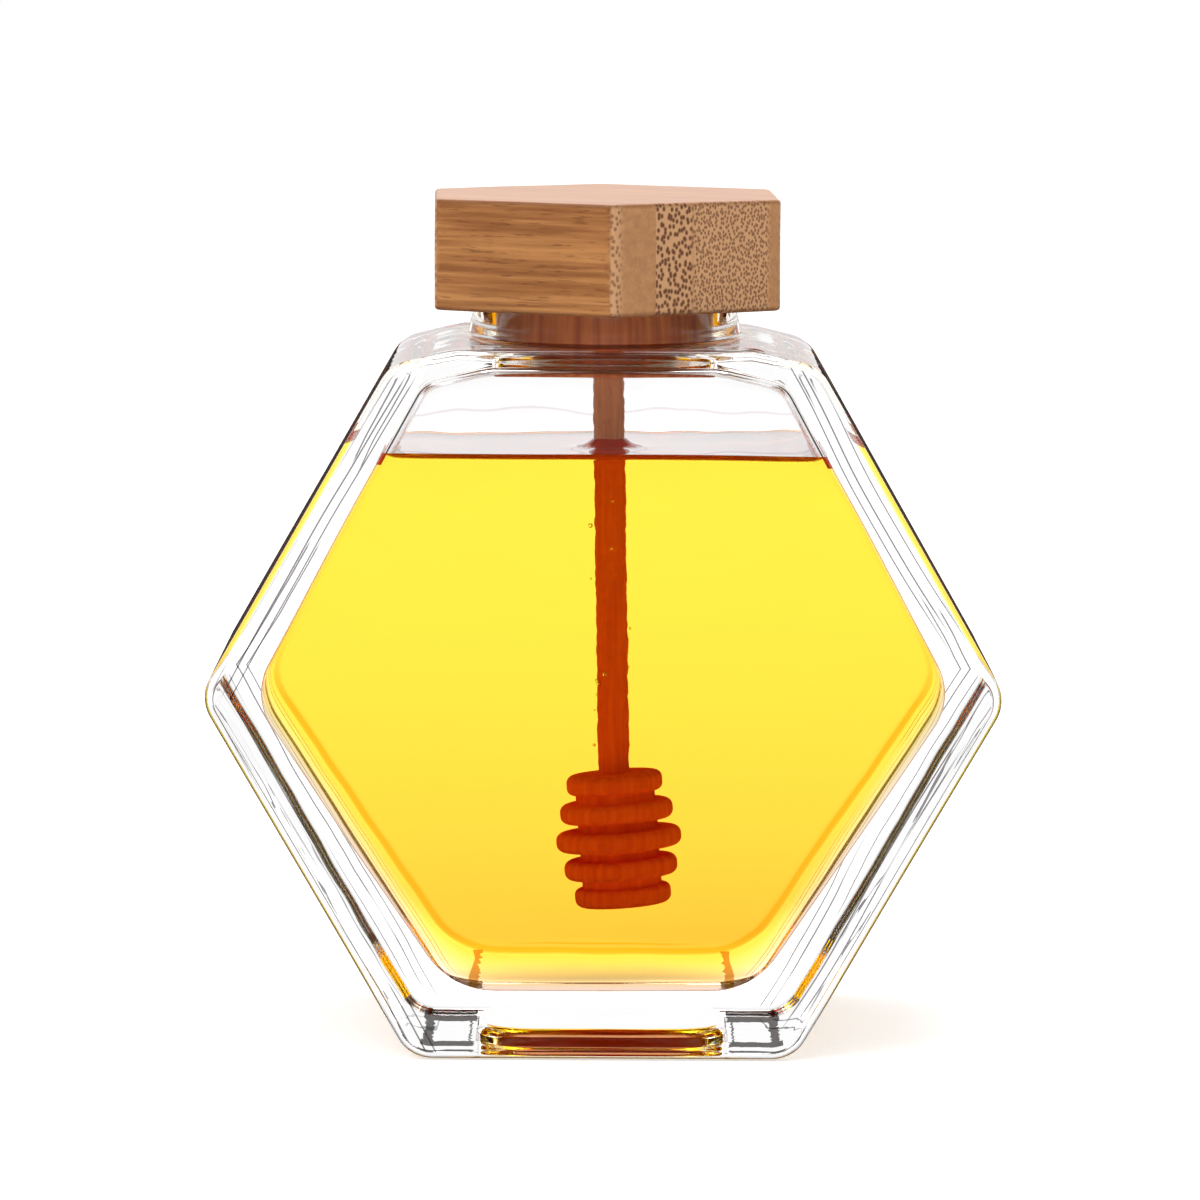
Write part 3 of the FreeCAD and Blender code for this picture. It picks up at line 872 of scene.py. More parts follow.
def dipper_tree():
    """A lathe for the head, whose discs grow narrower from the middle, and a rod into it."""
    inputs = [("Disc Count", "NodeSocketInt"), ("Rod Length", "NodeSocketFloat")]
    inputs += [(label, "NodeSocketFloat") for label in DIPPER_INPUTS]
    inputs += [("Head Top", "NodeSocketVector"), ("Material", "NodeSocketMaterial")]
    tree, given = new_tree("turned_dipper", inputs)

    # the head's outline as a path of radius and height: four corners to a disc
    discs = given["Disc Count"]
    corners = add(tree, MATH, (discs, 4.0, 2.0), "MULTIPLY_ADD")
    line = add(tree, "GeometryNodeMeshLine", {"Count": corners}, mode="OFFSET")
    index = add(tree, "GeometryNodeInputIndex")
    step = add(tree, MATH, (index, 1.0), "SUBTRACT")
    last = add(tree, MATH, (discs, 1.0), "SUBTRACT")
    disc = add(tree, MATH, (step, 4.0), "DIVIDE")
    disc = add(tree, MATH, (disc,), "FLOOR")
    disc = add(tree, MATH, (disc, 0.0), "MAXIMUM")
    disc = add(tree, MATH, (disc, last), "MINIMUM")
    corner = add(tree, MATH, (disc, -4.0, step), "MULTIPLY_ADD")
    on_rim = add(tree, MATH, (corner, 1.5, 0.6), "COMPARE")
    upper = add(tree, MATH, (corner, 1.5), "GREATER_THAN")
    inner_end = add(tree, MATH, (corner, -1.0, 0.1), "COMPARE")
    outer_end = add(tree, MATH, (corner, 4.0, 0.1), "COMPARE")
    off_axis = add(tree, MATH, (inner_end, outer_end), "MAXIMUM")
    off_axis = add(tree, MATH, (1.0, off_axis), "SUBTRACT")
    from_middle = add(tree, MATH, (last, -0.5, disc), "MULTIPLY_ADD")
    from_middle = add(tree, MATH, (from_middle,), "ABSOLUTE")
    drop = add(tree, MATH, (from_middle, 1.25), "POWER")
    drop = add(tree, MATH, (drop, given["Radius Drop"]), "MULTIPLY")
    rim_radius = add(tree, MATH, (given["Middle Radius"], drop), "SUBTRACT")
    spread = add(tree, MATH, (rim_radius, given["Core Radius"]), "SUBTRACT")
    radius = add(tree, MATH, (on_rim, spread, given["Core Radius"]), "MULTIPLY_ADD")
    radius = add(tree, MATH, (radius, off_axis), "MULTIPLY")
    height = add(tree, MATH, (upper, given["Disc Height"]), "MULTIPLY")
    height = add(tree, MATH, (disc, given["Disc Pitch"], height), "MULTIPLY_ADD")
    corner_place = add(tree, JOIN, {"X": radius, "Z": height})
    outline = add(tree, MOVE, {"Geometry": line, "Position": corner_place})
    path = add(tree, "GeometryNodeMeshToCurve", (outline,))
    fillet_radius = add(tree, MIX, {
        0: on_rim, 2: given["Groove Round"], 3: given["Disc Round"]}, data_type="FLOAT")
    filleted = add(tree, "GeometryNodeFilletCurve", {
        "Curve": path, "Count": 6, "Radius": fillet_radius, "Limit Radius": True}, mode="POLY")

    # the outline is spun round the axis
    around, along = 80, 260
    grid = add(tree, "GeometryNodeMeshGrid", {
        "Size X": 1.0, "Size Y": 1.0, "Vertices X": around + 1, "Vertices Y": along})
    parts = add(tree, SPLIT, (
        add(tree, "GeometryNodeInputPosition"),)).outputs
    turn = add(tree, MATH, (parts["X"], 2 * math.pi), "MULTIPLY")
    share = add(tree, MATH, (parts["Y"], 0.5), "ADD")
    sample = add(tree, "GeometryNodeSampleCurve", {
        "Curves": filleted, "Factor": share}, mode="FACTOR")
    found = add(tree, SPLIT, (sample.outputs["Position"],)).outputs
    cosine = add(tree, MATH, (turn,), "COSINE")
    sine = add(tree, MATH, (turn,), "SINE")
    spun = add(tree, JOIN, (
        add(tree, MATH, (found["X"], cosine), "MULTIPLY"),
        add(tree, MATH, (found["X"], sine), "MULTIPLY"), found["Z"]))
    head = add(tree, MOVE, {"Geometry": grid, "Position": spun})
    closed_head = add(tree, "GeometryNodeMergeByDistance", {
        "Geometry": head, "Distance": 1e-6})

    # hang it by its top
    head_height = add(tree, MATH, (
        last, given["Disc Pitch"], given["Disc Height"]), "MULTIPLY_ADD")
    drop_head, head_turn, rod_low, rod_high, rod_turn = (
        add(tree, VECTOR_MATH, {0: way, "Scale": size}, "SCALE")
        for way, size in (
            ((0, 0, -1), head_height), ((0, -1, 0), given["Head Lean"]),
            ((0, 0, -1), given["Rod Root"]), ((0, 0, 1), given["Rod Length"]),
            ((0, -1, 0), given["Rod Lean"])))
    top_at_origin = add(tree, TRANSFORM, {
        "Geometry": closed_head, "Translation": drop_head})
    hung_head = add(tree, TRANSFORM, {
        "Geometry": top_at_origin, "Rotation": head_turn, "Translation": given["Head Top"]})

    # the rod, uneven along its length
    rod_line = add(tree, "GeometryNodeCurvePrimitiveLine", {"Start": rod_low, "End": rod_high})
    rod_path = add(tree, "GeometryNodeResampleCurve", {"Curve": rod_line, "Count": 220})
    ring = add(tree, "GeometryNodeCurvePrimitiveCircle", {
        "Resolution": 48, "Radius": given["Rod Radius"]})
    rod = add(tree, "GeometryNodeCurveToMesh", {
        "Curve": rod_path, "Profile Curve": ring, "Fill Caps": True})
    grain = add(tree, NOISE, {
        "Vector": add(tree, "GeometryNodeInputPosition"), "Scale": 620.0, "Detail": 2.0})
    lift = add(tree, MATH, (grain, 0.5), "SUBTRACT")
    lift = add(tree, MATH, (lift, given["Rod Wander"]), "MULTIPLY")
    push = add(tree, VECTOR_MATH, {
        0: add(tree, "GeometryNodeInputNormal"), "Scale": lift}, "SCALE")
    uneven_rod = add(tree, MOVE, {"Geometry": rod, "Offset": push})
    hung_rod = add(tree, TRANSFORM, {
        "Geometry": uneven_rod, "Rotation": rod_turn, "Translation": given["Head Top"]})

    union = add(tree, "GeometryNodeMeshBoolean", (), "UNION", solver="EXACT")
    for part in (hung_head, hung_rod):
        tree.links.new(part.outputs[0], union.inputs["Mesh 2"])
    return finish_tree(tree, union, given["Material"])


def dipper_head_top(sizes):
    """Where the rod meets the head, and how long the rod is from there."""
    drop = STOPPER_LOW.z - HONEY_LOW.z - sizes.head_lift
    top = Vector((
        sizes.rod_offset + drop * math.sin(sizes.rod_lean), 0.0,
        STOPPER_LOW.z - drop * math.cos(sizes.rod_lean),
    ))
    return top, drop + sizes.rod_socket


class BubbleSizes(bpy.types.PropertyGroup):
    """Small bubbles of air that cling to the dipper's rod in the honey."""

    count: IntProperty(name="Count", description="How many bubbles", default=14, min=1)
    seed: IntProperty(name="Seed", description="Which bubbles", default=5)
    smallest: length("Smallest", "Radius of the smallest bubble", 0.12 * MM)
    largest: length("Largest", "Radius of the largest bubble", 0.38 * MM)
    away: length("Away", "How far from the rod's axis they lie at most", 3.4 * MM)


def bubble_tree():
    """Round bubbles at random heights and angles round a leaning rod."""
    floats = ("Smallest", "Largest", "Nearest", "Farthest", "Low", "High", "Lean", "Offset")
    inputs = [("Count", "NodeSocketInt"), ("Seed", "NodeSocketInt")]
    inputs += [(label, "NodeSocketFloat") for label in floats]
    inputs += [("Material", "NodeSocketMaterial")]
    tree, given = new_tree("clinging_bubbles", inputs)
    picked = []
    for i, (low, high) in enumerate((
        (0.0, 2 * math.pi), (given["Low"], given["High"]),
        (given["Nearest"], given["Farthest"]), (given["Smallest"], given["Largest"]),
    )):
        seed = add(tree, MATH, (given["Seed"], float(i)), "ADD")
        picked.append(add(tree, "FunctionNodeRandomValue", {
            2: low, 3: high, "Seed": seed}, data_type="FLOAT"))
    turn, height, away, radius = picked
    drop = add(tree, MATH, (given["High"], height), "SUBTRACT")
    slope = add(tree, MATH, (given["Lean"],), "TANGENT")
    axis = add(tree, MATH, (drop, slope, given["Offset"]), "MULTIPLY_ADD")
    cosine = add(tree, MATH, (turn,), "COSINE")
    sine = add(tree, MATH, (turn,), "SINE")
    where = add(tree, JOIN, (
        add(tree, MATH, (away, cosine, axis), "MULTIPLY_ADD"),
        add(tree, MATH, (away, sine), "MULTIPLY"), height))
    points = add(tree, "GeometryNodePoints", {"Count": given["Count"], "Position": where})
    ball = add(tree, "GeometryNodeMeshIcoSphere", {"Radius": 1.0, "Subdivisions": 4})
    bubbles = add(tree, "GeometryNodeInstanceOnPoints", {
        "Points": points, "Instance": ball, "Scale": radius})
    return finish_tree(tree, bubbles, given["Material"])


# ---------------------------------------------------------------- materials

# painted grey shade along flow lines in the glass: how far in from the outline, half the width,
# and between which values of a noise each one fades in
SHADED_FLOW_LINES = (
    (2.7 * MM, 0.09 * MM, 0.36, 0.42), (4.4 * MM, 0.12 * MM, 0.46, 0.52),
    (5.7 * MM, 0.1 * MM, 0.42, 0.5),
)
# painted dark shade under both ends of the foot: direction, middle and half width. A real foot
# has none. They stand in for the dark surroundings that thick glass bends into view there.
FOOT_SHADE_BANDS = (
    ("x", 24.8 * MM, 4.6 * MM), ("y", 26.0 * MM, 8.0 * MM), ("y", -9.0 * MM, 3.0 * MM),
    ("x", 27.4 * MM, 0.7 * MM), ("x", 20.9 * MM, 0.16 * MM), ("y", 8.0 * MM, 16.0 * MM),
)
FOOT_SHADE_STRENGTH = 0.85
# bamboo fibres: stretch along the lath, fineness and detail of streaks, dashes and broad ones
FIBRES = ((0.035, 900.0, 3.0), (0.1, 2600.0, 2.0), (0.025, 190.0, 1.0))
# dots of cut strands: spacing, from and to which share of a lath, size and strength
DOT_ZONES = (
    (0.6 * MM, 0.262, 0.485, 0.4, 0.9), (0.42 * MM, 0.485, 0.93, 0.4, 0.7),
    (0.62 * MM, 0.0, 0.065, 0.34, 0.6),
)


def outline_inset(tree, sides):
    """How far in a spot lies from the nearest side of the six-sided outline."""
    inward = []
    for low, high in zip(JAR_OUTSIDE[:2], JAR_OUTSIDE[1:3]):
        run = Vector((high[0] - low[0], 0, high[1] - low[1])).normalized()
        normal = Vector((-run.z, 0, run.x))
        apart = add(tree, VECTOR_MATH, (sides, tuple(normal)), "DOT_PRODUCT")
        start = normal.dot(Vector((low[0], 0, low[1])))
        inward.append(add(tree, MATH, (apart, start), "SUBTRACT"))
    return add(tree, MATH, inward, "MINIMUM")


def glass_painted_shade(tree, spot, sides, up, front_on):
    """Painted grey shade on the glass: flow lines on its flats, and its rounded edges seen
    along.
    """
    wander = add(tree, NOISE, {"Vector": spot, "Scale": 32.0, "Detail": 0.5})
    inset = add(tree, MATH, (wander, 3.0 * MM, outline_inset(tree, sides)), "MULTIPLY_ADD")
    broken = add(tree, NOISE, {
        "Vector": spot, "Scale": 42.0, "Detail": 0.0, "W": 4.0}, noise_dimensions="4D")
    lines = 0.0
    for offset, width, gap_from, gap_to in SHADED_FLOW_LINES:
        off = add(tree, MATH, (inset, offset, width), "COMPARE")
        seen = add(tree, MAP_RANGE, (broken, gap_from, gap_to))
        line = add(tree, MATH, (off, seen), "MULTIPLY")
        lines = add(tree, MATH, (line, lines), "MAXIMUM")
    flat = add(tree, MAP_RANGE, (front_on, 0.9, 0.97))
    lines = add(tree, MATH, (lines, flat), "MULTIPLY")
    edges = add(tree, MAP_RANGE, (front_on, 0.55, 0.85, 1.0, 0.0))
    waist = JAR_OUTSIDE[1][1]
    for limit in (
        add(tree, MAP_RANGE, (front_on, 0.02, 0.06)),
        add(tree, MAP_RANGE, (up, waist, waist + 8 * MM, 1.0, 0.3)),
    ):
        edges = add(tree, MATH, (edges, limit), "MULTIPLY")
    return add(tree, MATH, (lines, edges), "MAXIMUM")


def foot_painted_shade(tree, spot, x_out, y_here, z_out):
    """How much dark shade is painted under both ends of the foot."""
    ragged = add(tree, NOISE, {"Vector": spot, "Scale": 600.0, "Detail": 2.0})
    y_torn = add(tree, MATH, (ragged, 2.4 * MM, y_here), "MULTIPLY_ADD")
    x_torn = add(tree, MATH, (ragged, 1.2 * MM, x_out), "MULTIPLY_ADD")
    inside, back, front, outer, inner, along = (
        add(tree, MATH, ({"x": x_torn, "y": y_torn}[way], middle, half), "COMPARE")
        for way, middle, half in FOOT_SHADE_BANDS)
    band = add(tree, MATH, (back, front), "MAXIMUM")
    band = add(tree, MATH, (band, inside), "MULTIPLY")
    outline = add(tree, MATH, (outer, inner), "MAXIMUM")
    outline = add(tree, MATH, (outline, along), "MULTIPLY")
    band = add(tree, MATH, (band, outline), "MAXIMUM")
    underneath = add(tree, MATH, (z_out, 0.4 * MM), "LESS_THAN")
    for limit in (underneath, FOOT_SHADE_STRENGTH):
        band = add(tree, MATH, (band, limit), "MULTIPLY")
    return band


def glass_material(sizes):
    """Soda-lime glass, pressed and fire-polished: clear, sharp, a little wavy.

    The glass is clear, and what its surroundings would show in it is laid over it as tints.
    """
    material, tree = new_material("soda_lime_glass_fire_polished")
    coordinates = add(tree, COORDINATES).outputs
    spot = coordinates["Object"]
    y_here, up = add(tree, SPLIT, (spot,)).outputs[1:]
    sides = add(tree, VECTOR_MATH, (spot,), "ABSOLUTE")
    x_out, _, z_out = add(tree, SPLIT, (sides,)).outputs
    facing = add(tree, VECTOR_MATH, (coordinates["Normal"],), "ABSOLUTE")
    front_on = add(tree, SPLIT, (facing,)).outputs["Y"]
    painted_shade = glass_painted_shade(tree, spot, sides, up, front_on)

    # painted reflection: the honey's colour is painted into the glass round the hollow under the
    # foot
    hollow = Vector((sizes.recess_half_x, sizes.recess_half_y, sizes.recess_height))
    room = hollow + Vector((0.3, 0.3, 0.2)) * MM
    reach = add(tree, VECTOR_MATH, (sides, tuple(room)), "DIVIDE")
    reach_x, reach_y, reach_z = add(tree, SPLIT, (reach,)).outputs
    farthest = add(tree, MATH, (reach_x, reach_y), "MAXIMUM")
    farthest = add(tree, MATH, (farthest, reach_z), "MAXIMUM")
    hollow_reflection = add(tree, MATH, (farthest, 1.0), "LESS_THAN")

    # painted reflection: the stopper's brown is painted into the glass round the mouth
    level = add(tree, VECTOR_MATH, (spot, (1, 1, 0)), "MULTIPLY")
    from_axis = add(tree, VECTOR_MATH, (level,), "LENGTH")
    mouth_reflection = add(tree, MAP_RANGE, (from_axis, 21 * MM, 25 * MM, 1.0, 0.0))
    roof = add(tree, MATH, (up, 105.8 * MM, 2.4 * MM), "COMPARE")
    mouth_reflection = add(tree, MATH, (mouth_reflection, roof), "MULTIPLY")

    # a thin film of honey has run up the far wall, with a wavy edge: a faint tint of its own
    # below the edge, and along it a grey line of painted shade for what the edge would bend into
    # view
    film = add(tree, NOISE, {
        "Vector": add(tree, VECTOR_MATH, (spot, (1, 0, 0.2)), "MULTIPLY"),
        "Scale": 75.0, "Detail": 1.0})
    over_honey = add(tree, MATH, (up, HONEY_HIGH.z + 1.6 * MM), "SUBTRACT")
    edge = add(tree, MATH, (film, -4.5 * MM, over_honey), "MULTIPLY_ADD")
    from_edge = add(tree, MATH, (edge,), "ABSOLUTE")
    far_wall = add(tree, MATH, (y_here, 25.0 * MM, 1.5 * MM), "COMPARE")
    under_edge, film_edge_shade = (
        add(tree, MATH, (amount, far_wall), "MULTIPLY") for amount in (
            add(tree, MATH, (edge, 0.0), "LESS_THAN"),
            add(tree, MAP_RANGE, (from_edge, 0.0, 0.35 * MM, 0.8, 0.0))))

    # grey painted shade on the flow lines and rounded edges, for the dark surroundings the glass
    # would show
    shade = layered(tree, WHITE, (
        (painted_shade, "#4C484A"), (hollow_reflection, "#DC9560"), (mouth_reflection, "#AC7C62"),
        (under_edge, "#FBF3F3"), (film_edge_shade, "#C4B2BE")))
    waves = add(tree, NOISE, {"Vector": spot, "Scale": 90.0, "Detail": 1.0})
    bump = add(tree, BUMP, {"Strength": 0.5, "Distance": 0.2 * MM, "Height": waves})
    glass = add(tree, PRINCIPLED, {
        "Base Color": shade, "Roughness": 0.0, "IOR": GLASS_IOR,
        "Specular Tint": (0.3, 0.3, 0.3, 1), "Transmission Weight": 1.0, "Normal": bump})
    # a dark diffuse patch: painted shade mixed in under the foot
    dark = add(tree, DIFFUSE, {"Color": "#3C2E2A"})
    surface = add(tree, "ShaderNodeMixShader", (
        foot_painted_shade(tree, spot, x_out, y_here, z_out), glass, dark))
    add(tree, OUTPUT, {"Surface": surface})
    return material


def clear_material(name, ior):
    """A clear material that bends light by the given index and has no colour of its own."""
    material, tree = new_material(name)
    clear = add(tree, PRINCIPLED, {
        "Base Color": WHITE, "Roughness": 0.0, "IOR": ior, "Transmission Weight": 1.0})
    add(tree, OUTPUT, {"Surface": clear})
    return material


def fill_with_honey(tree, look, surface):
    """Puts honey behind a surface, which colours light by how far it runs."""
    depth = add(tree, "ShaderNodeVolumeAbsorption", {
        "Color": look.colour, "Density": look.density})
    add(tree, OUTPUT, {"Surface": surface, "Volume": depth})


def honey_material(look, name, ior, skin=0.0):
    """Clear acacia honey: pale yellow where thin, amber where light runs far through it."""
    material, tree = new_material(name)
    coordinates = add(tree, COORDINATES).outputs
    spot = coordinates["Object"]
    across, depth_in, height = add(tree, SPLIT, (spot,)).outputs
    facing = add(tree, SPLIT, (coordinates["Normal"],)).outputs["Y"]
    front_on = add(tree, MATH, (facing,), "ABSOLUTE")
    # painted shade, warmer and darker towards the bottom, fading out up to the upper height
    above_low_shade = add(tree, MAP_RANGE, (height, look.warm_low, look.warm_high))
    # painted shade: clear against the side walls, amber round the far corner, dark in the near
    # one
    plain = add(tree, MAP_RANGE, (front_on, 0.3, 0.1))
    far = add(tree, MATH, (depth_in, 0.0), "GREATER_THAN")
    near = add(tree, MATH, (depth_in, 0.0), "LESS_THAN")
    for limit in (
        add(tree, MAP_RANGE, (height, 50 * MM, 62 * MM, 1.0, 0.0)),
        add(tree, MAP_RANGE, (front_on, 0.999, 0.9)),
        add(tree, MAP_RANGE, (front_on, 0.3, 0.6)),
    ):
        far = add(tree, MATH, (far, limit), "MULTIPLY")
    for limit in (
        add(tree, MAP_RANGE, (front_on, 0.65, 0.4)),
        add(tree, MAP_RANGE, (front_on, 0.02, 0.06)),
    ):
        near = add(tree, MATH, (near, limit), "MULTIPLY")
    # painted shade: two streaks on the floor where the ends of the hollow under the foot show
    # through
    aside = add(tree, MATH, (across,), "ABSOLUTE")
    torn = add(tree, NOISE, {"Vector": spot, "Scale": 260.0, "Detail": 2.0})
    aside = add(tree, MATH, (torn, 1.6 * MM, aside), "MULTIPLY_ADD")
    hollow_end = bpy.context.scene.jar_sizes.recess_half_x
    streak = add(tree, MATH, (aside, hollow_end + 1.2 * MM, 0.75 * MM), "COMPARE")
    floor = add(tree, MATH, (height, HONEY_LOW.z + 0.5 * MM), "LESS_THAN")
    streak = add(tree, MATH, (streak, floor), "MULTIPLY")
    warmth = layered(tree, look.low_shade_tint, (
        (above_low_shade, WHITE), (plain, WHITE), (far, look.far_corner_painted), (streak, look.near_corner_painted),
        (near, look.near_corner_painted)))
    syrup = add(tree, PRINCIPLED, {
        "Base Color": warmth, "Roughness": 0.0, "IOR": ior, "Transmission Weight": 1.0,
        "Coat Weight": skin, "Coat Roughness": 0.0, "Coat IOR": 2.2})
    fill_with_honey(tree, look, syrup)
    return material


def honey_edge_material(look):
    """Honey where it climbs glass and rod: painted amber for the light the thin edge catches."""
    material, tree = new_material("acacia_honey_climbing_edge")
    syrup = add(tree, PRINCIPLED, {
        "Base Color": look.painted_edge_colour, "Roughness": 0.1, "IOR": HONEY_IOR,
        "Transmission Weight": 0.25})
    fill_with_honey(tree, look, syrup)
    return material


def cut_ends(tree, lid, base, lath, cut_face):
    """The dots of cut strands, coarse or fine or hardly there from lath to lath."""
    cut = layered(tree, base, ((0.6, lid.cut),))
    for spacing, first, last, size, strength in DOT_ZONES:
        dots = add(tree, "ShaderNodeTexVoronoi", {
            "Vector": cut_face, "Scale": 1 / spacing, "Randomness": 0.95},
            voronoi_dimensions="2D")
        dot = add(tree, MAP_RANGE, (dots, size * 0.6, size * 1.25, strength, 0.0))
        after = add(tree, MAP_RANGE, (lath, first - 0.004, first + 0.004))
        until = add(tree, MAP_RANGE, (lath, last - 0.02, last + 0.02, 1.0, 0.0))
        here = add(tree, MATH, (after, until), "MULTIPLY")
        paler = add(tree, MATH, (here, 0.75), "MULTIPLY")
        amount = add(tree, MATH, (dot, here), "MULTIPLY")
        cut = layered(tree, cut, ((paler, lid.cut_pale), (amount, lid.strand)))
    return cut


def bamboo_material(lid):
    """Glued bamboo laths, sanded and oiled: long fibres, dark strands at the cut ends."""
    material, tree = new_material("laminated_bamboo_oiled")
    turn = (0, 0, math.radians(30) - lid.turn)
    place_in = add(tree, COORDINATES).outputs["Object"]
    turned = add(tree, MAPPING, {"Vector": place_in, "Rotation": turn})
    across, up = add(tree, SPLIT, (turned,)).outputs[1:]

    # long fibres: broad soft streaks and short thin dark dashes
    streaks, dashes, broad = (
        add(tree, NOISE, {
            "Vector": add(tree, MAPPING, {"Vector": turned, "Scale": (stretch, 1, 1)}),
            "Scale": fineness, "Detail": detail, "Roughness": 0.6})
        for stretch, fineness, detail in FIBRES)
    base = layered(tree, lid.dark, (
        (add(tree, MAP_RANGE, (streaks, 0.36, 0.62)), lid.pale),
        (add(tree, MAP_RANGE, (broad, 0.35, 0.7, 0.0, 0.35)), lid.warm),
        (add(tree, MAP_RANGE, (dashes, 0.58, 0.7, 0.0, 0.55)), lid.strand)))

    # cut ends face along the laths
    lath = add(tree, MATH, (across, lid.lath), "DIVIDE")
    lath = add(tree, MATH, (lath,), "FRACT")
    ends_on = add(tree, MAPPING, {
        "Vector": add(tree, "ShaderNodeNewGeometry").outputs["Normal"], "Rotation": turn})
    along, _, upward = add(tree, SPLIT, (ends_on,)).outputs
    facing = add(tree, MATH, (along,), "ABSOLUTE")
    at_end = add(tree, MAP_RANGE, (facing, 0.4, 0.6))
    cut_face = add(tree, MAPPING, {
        "Vector": add(tree, JOIN, {"X": across, "Y": up}),
        "Rotation": (0, 0, math.radians(24)), "Scale": (1, 0.62, 1)})

    # the sides are darker in a band near the sanded edges, and the top is painted palest for the
    # light that falls on it from above
    middle, half = (LID_LOW.z + LID_HIGH.z) / 2, (LID_HIGH.z - LID_LOW.z) / 2
    to_rim = add(tree, MATH, (up, middle), "SUBTRACT")
    to_rim = add(tree, MATH, (to_rim,), "ABSOLUTE")
    oiled = add(tree, MAP_RANGE, (to_rim, half - 0.8 * MM, half - 0.25 * MM))
    on_side = add(tree, MAP_RANGE, (upward, 0.55, 0.95, 0.55, 0.0))
    base = layered(tree, base, (
        (at_end, cut_ends(tree, lid, base, lath, cut_face)),
        (add(tree, MAP_RANGE, (upward, 0.8, 0.95, 0.0, 0.4)), lid.top),
        (add(tree, MATH, (oiled, on_side), "MULTIPLY"), lid.strand)))
    bump = add(tree, BUMP, {"Strength": 0.3, "Distance": 0.1 * MM, "Height": streaks})
    wood = add(tree, PRINCIPLED, {
        "Base Color": base, "Roughness": 0.36, "IOR": WOOD_IOR, "Normal": bump})
    add(tree, OUTPUT, {"Surface": wood})
    return material


def turned_wood_material(name, pale, dark, shine=0.5):
    """Turned beech: fine upright grain. Honey darkens what it soaks and takes its shine."""
    material, tree = new_material(name)
    stretched = add(tree, MAPPING, {
        "Vector": add(tree, COORDINATES).outputs["Object"], "Scale": (1, 1, 0.06)})
    grain = add(tree, NOISE, {
        "Vector": stretched, "Scale": 900.0, "Detail": 4.0, "Roughness": 0.6})
    base = layered(tree, dark, ((add(tree, MAP_RANGE, (grain, 0.35, 0.65)), pale),))
    bump = add(tree, BUMP, {"Strength": 0.3, "Distance": 0.1 * MM, "Height": grain})
    wood = add(tree, PRINCIPLED, {
        "Base Color": base, "Roughness": 0.5, "IOR": WOOD_IOR, "Specular IOR Level": shine,
        "Normal": bump})
    add(tree, OUTPUT, {"Surface": wood})
    return material


# ---------------------------------------------------------------- operators

class AddGlassJar(bpy.types.Operator):
    """Add the pressed glass jar with its neck and the hollow under its foot"""

    bl_idname = "honey_jar.add_glass"
    bl_label = "Glass Jar"

    def execute(self, context):
        sizes = context.scene.jar_sizes
        # glass and honey bend light alike, so the face between them vanishes
        wetted = clear_material("soda_lime_glass_wetted_by_honey", 1.0)
        piece = make_piece(
            "pressed_glass_jar", glass_skin(sizes), [glass_material(sizes), wetted])
        place(piece, "glass_jar")
        return {"FINISHED"}


class AddHoney(bpy.types.Operator):
    """Add the honey up to its level, a little way up the glass and the rod"""

    bl_idname = "honey_jar.add_honey"
    bl_label = "Honey"

    def execute(self, context):
        look = context.scene.honey_look
        skin = honey_skin(look)
        piece = make_piece("clear_honey", skin, [
            honey_material(look, "acacia_honey_clear", HONEY_IOR, skin=1.0),
            honey_material(look, "acacia_honey_against_glass", HONEY_IOR / GLASS_IOR),
            honey_edge_material(look),
        ])
        top = HONEY_HIGH.z - 0.4 * MM
        for face in piece.data.polygons:
            free = face.normal.z > 0.25 and face.center.z > top
            steep = free and face.normal.z < math.cos(look.edge_slope)
            face.material_index = 2 if steep else 0 if free else 1
        place(piece, "honey")
        return {"FINISHED"}


class AddLid(bpy.types.Operator):
    """Add the hexagonal bamboo lid"""

    bl_idname = "honey_jar.add_lid"
    bl_label = "Lid"

    def execute(self, context):
        sizes = context.scene.lid_sizes
        piece = make_piece("bamboo_lid", lid_skin(sizes), [bamboo_material(sizes)])
        place(piece, "lid")
        return {"FINISHED"}


class AddStopper(bpy.types.Operator):
    """Add the turned stopper that hangs from the lid"""

    bl_idname = "honey_jar.add_stopper"
    bl_label = "Stopper"

    def execute(self, context):
        wood = turned_wood_material("beech_plug_turned", linear("#F28A4C"), linear("#CC6638"))
        piece = make_piece("turned_stopper", stopper_skin(context.scene.stopper_sizes), [wood])
        place(piece, "stopper")
        return {"FINISHED"}


class AddDipper(bpy.types.Operator):
    """Add the turned dipper that hangs from the stopper into the honey"""

    bl_idname = "honey_jar.add_dipper"
    bl_label = "Dipper"

    def execute(self, context):
        sizes = context.scene.dipper_sizes
        dry = turned_wood_material(
            "beech_dipper_turned", linear("#F0B277"), linear("#C88250"))
        soaked = turned_wood_material(
            "beech_soaked_with_honey", linear("#F6681C"), linear("#E65816"), shine=0.0)
        head_top, rod_length = dipper_head_top(sizes)
        values = {
            "Disc Count": sizes.disc_count, "Rod Length": rod_length, "Head Top": head_top}
        for label in DIPPER_INPUTS:
            values[label] = getattr(sizes, label.lower().replace(" ", "_"))
        piece = run_tree("turned_dipper", dipper_tree(), values, dry)
        piece.data.materials.append(soaked)
        for face in piece.data.polygons:
            if face.center.z < HONEY_HIGH.z + 0.6 * MM:
                face.material_index = len(piece.data.materials) - 1
        place(piece, "dipper")
        return {"FINISHED"}


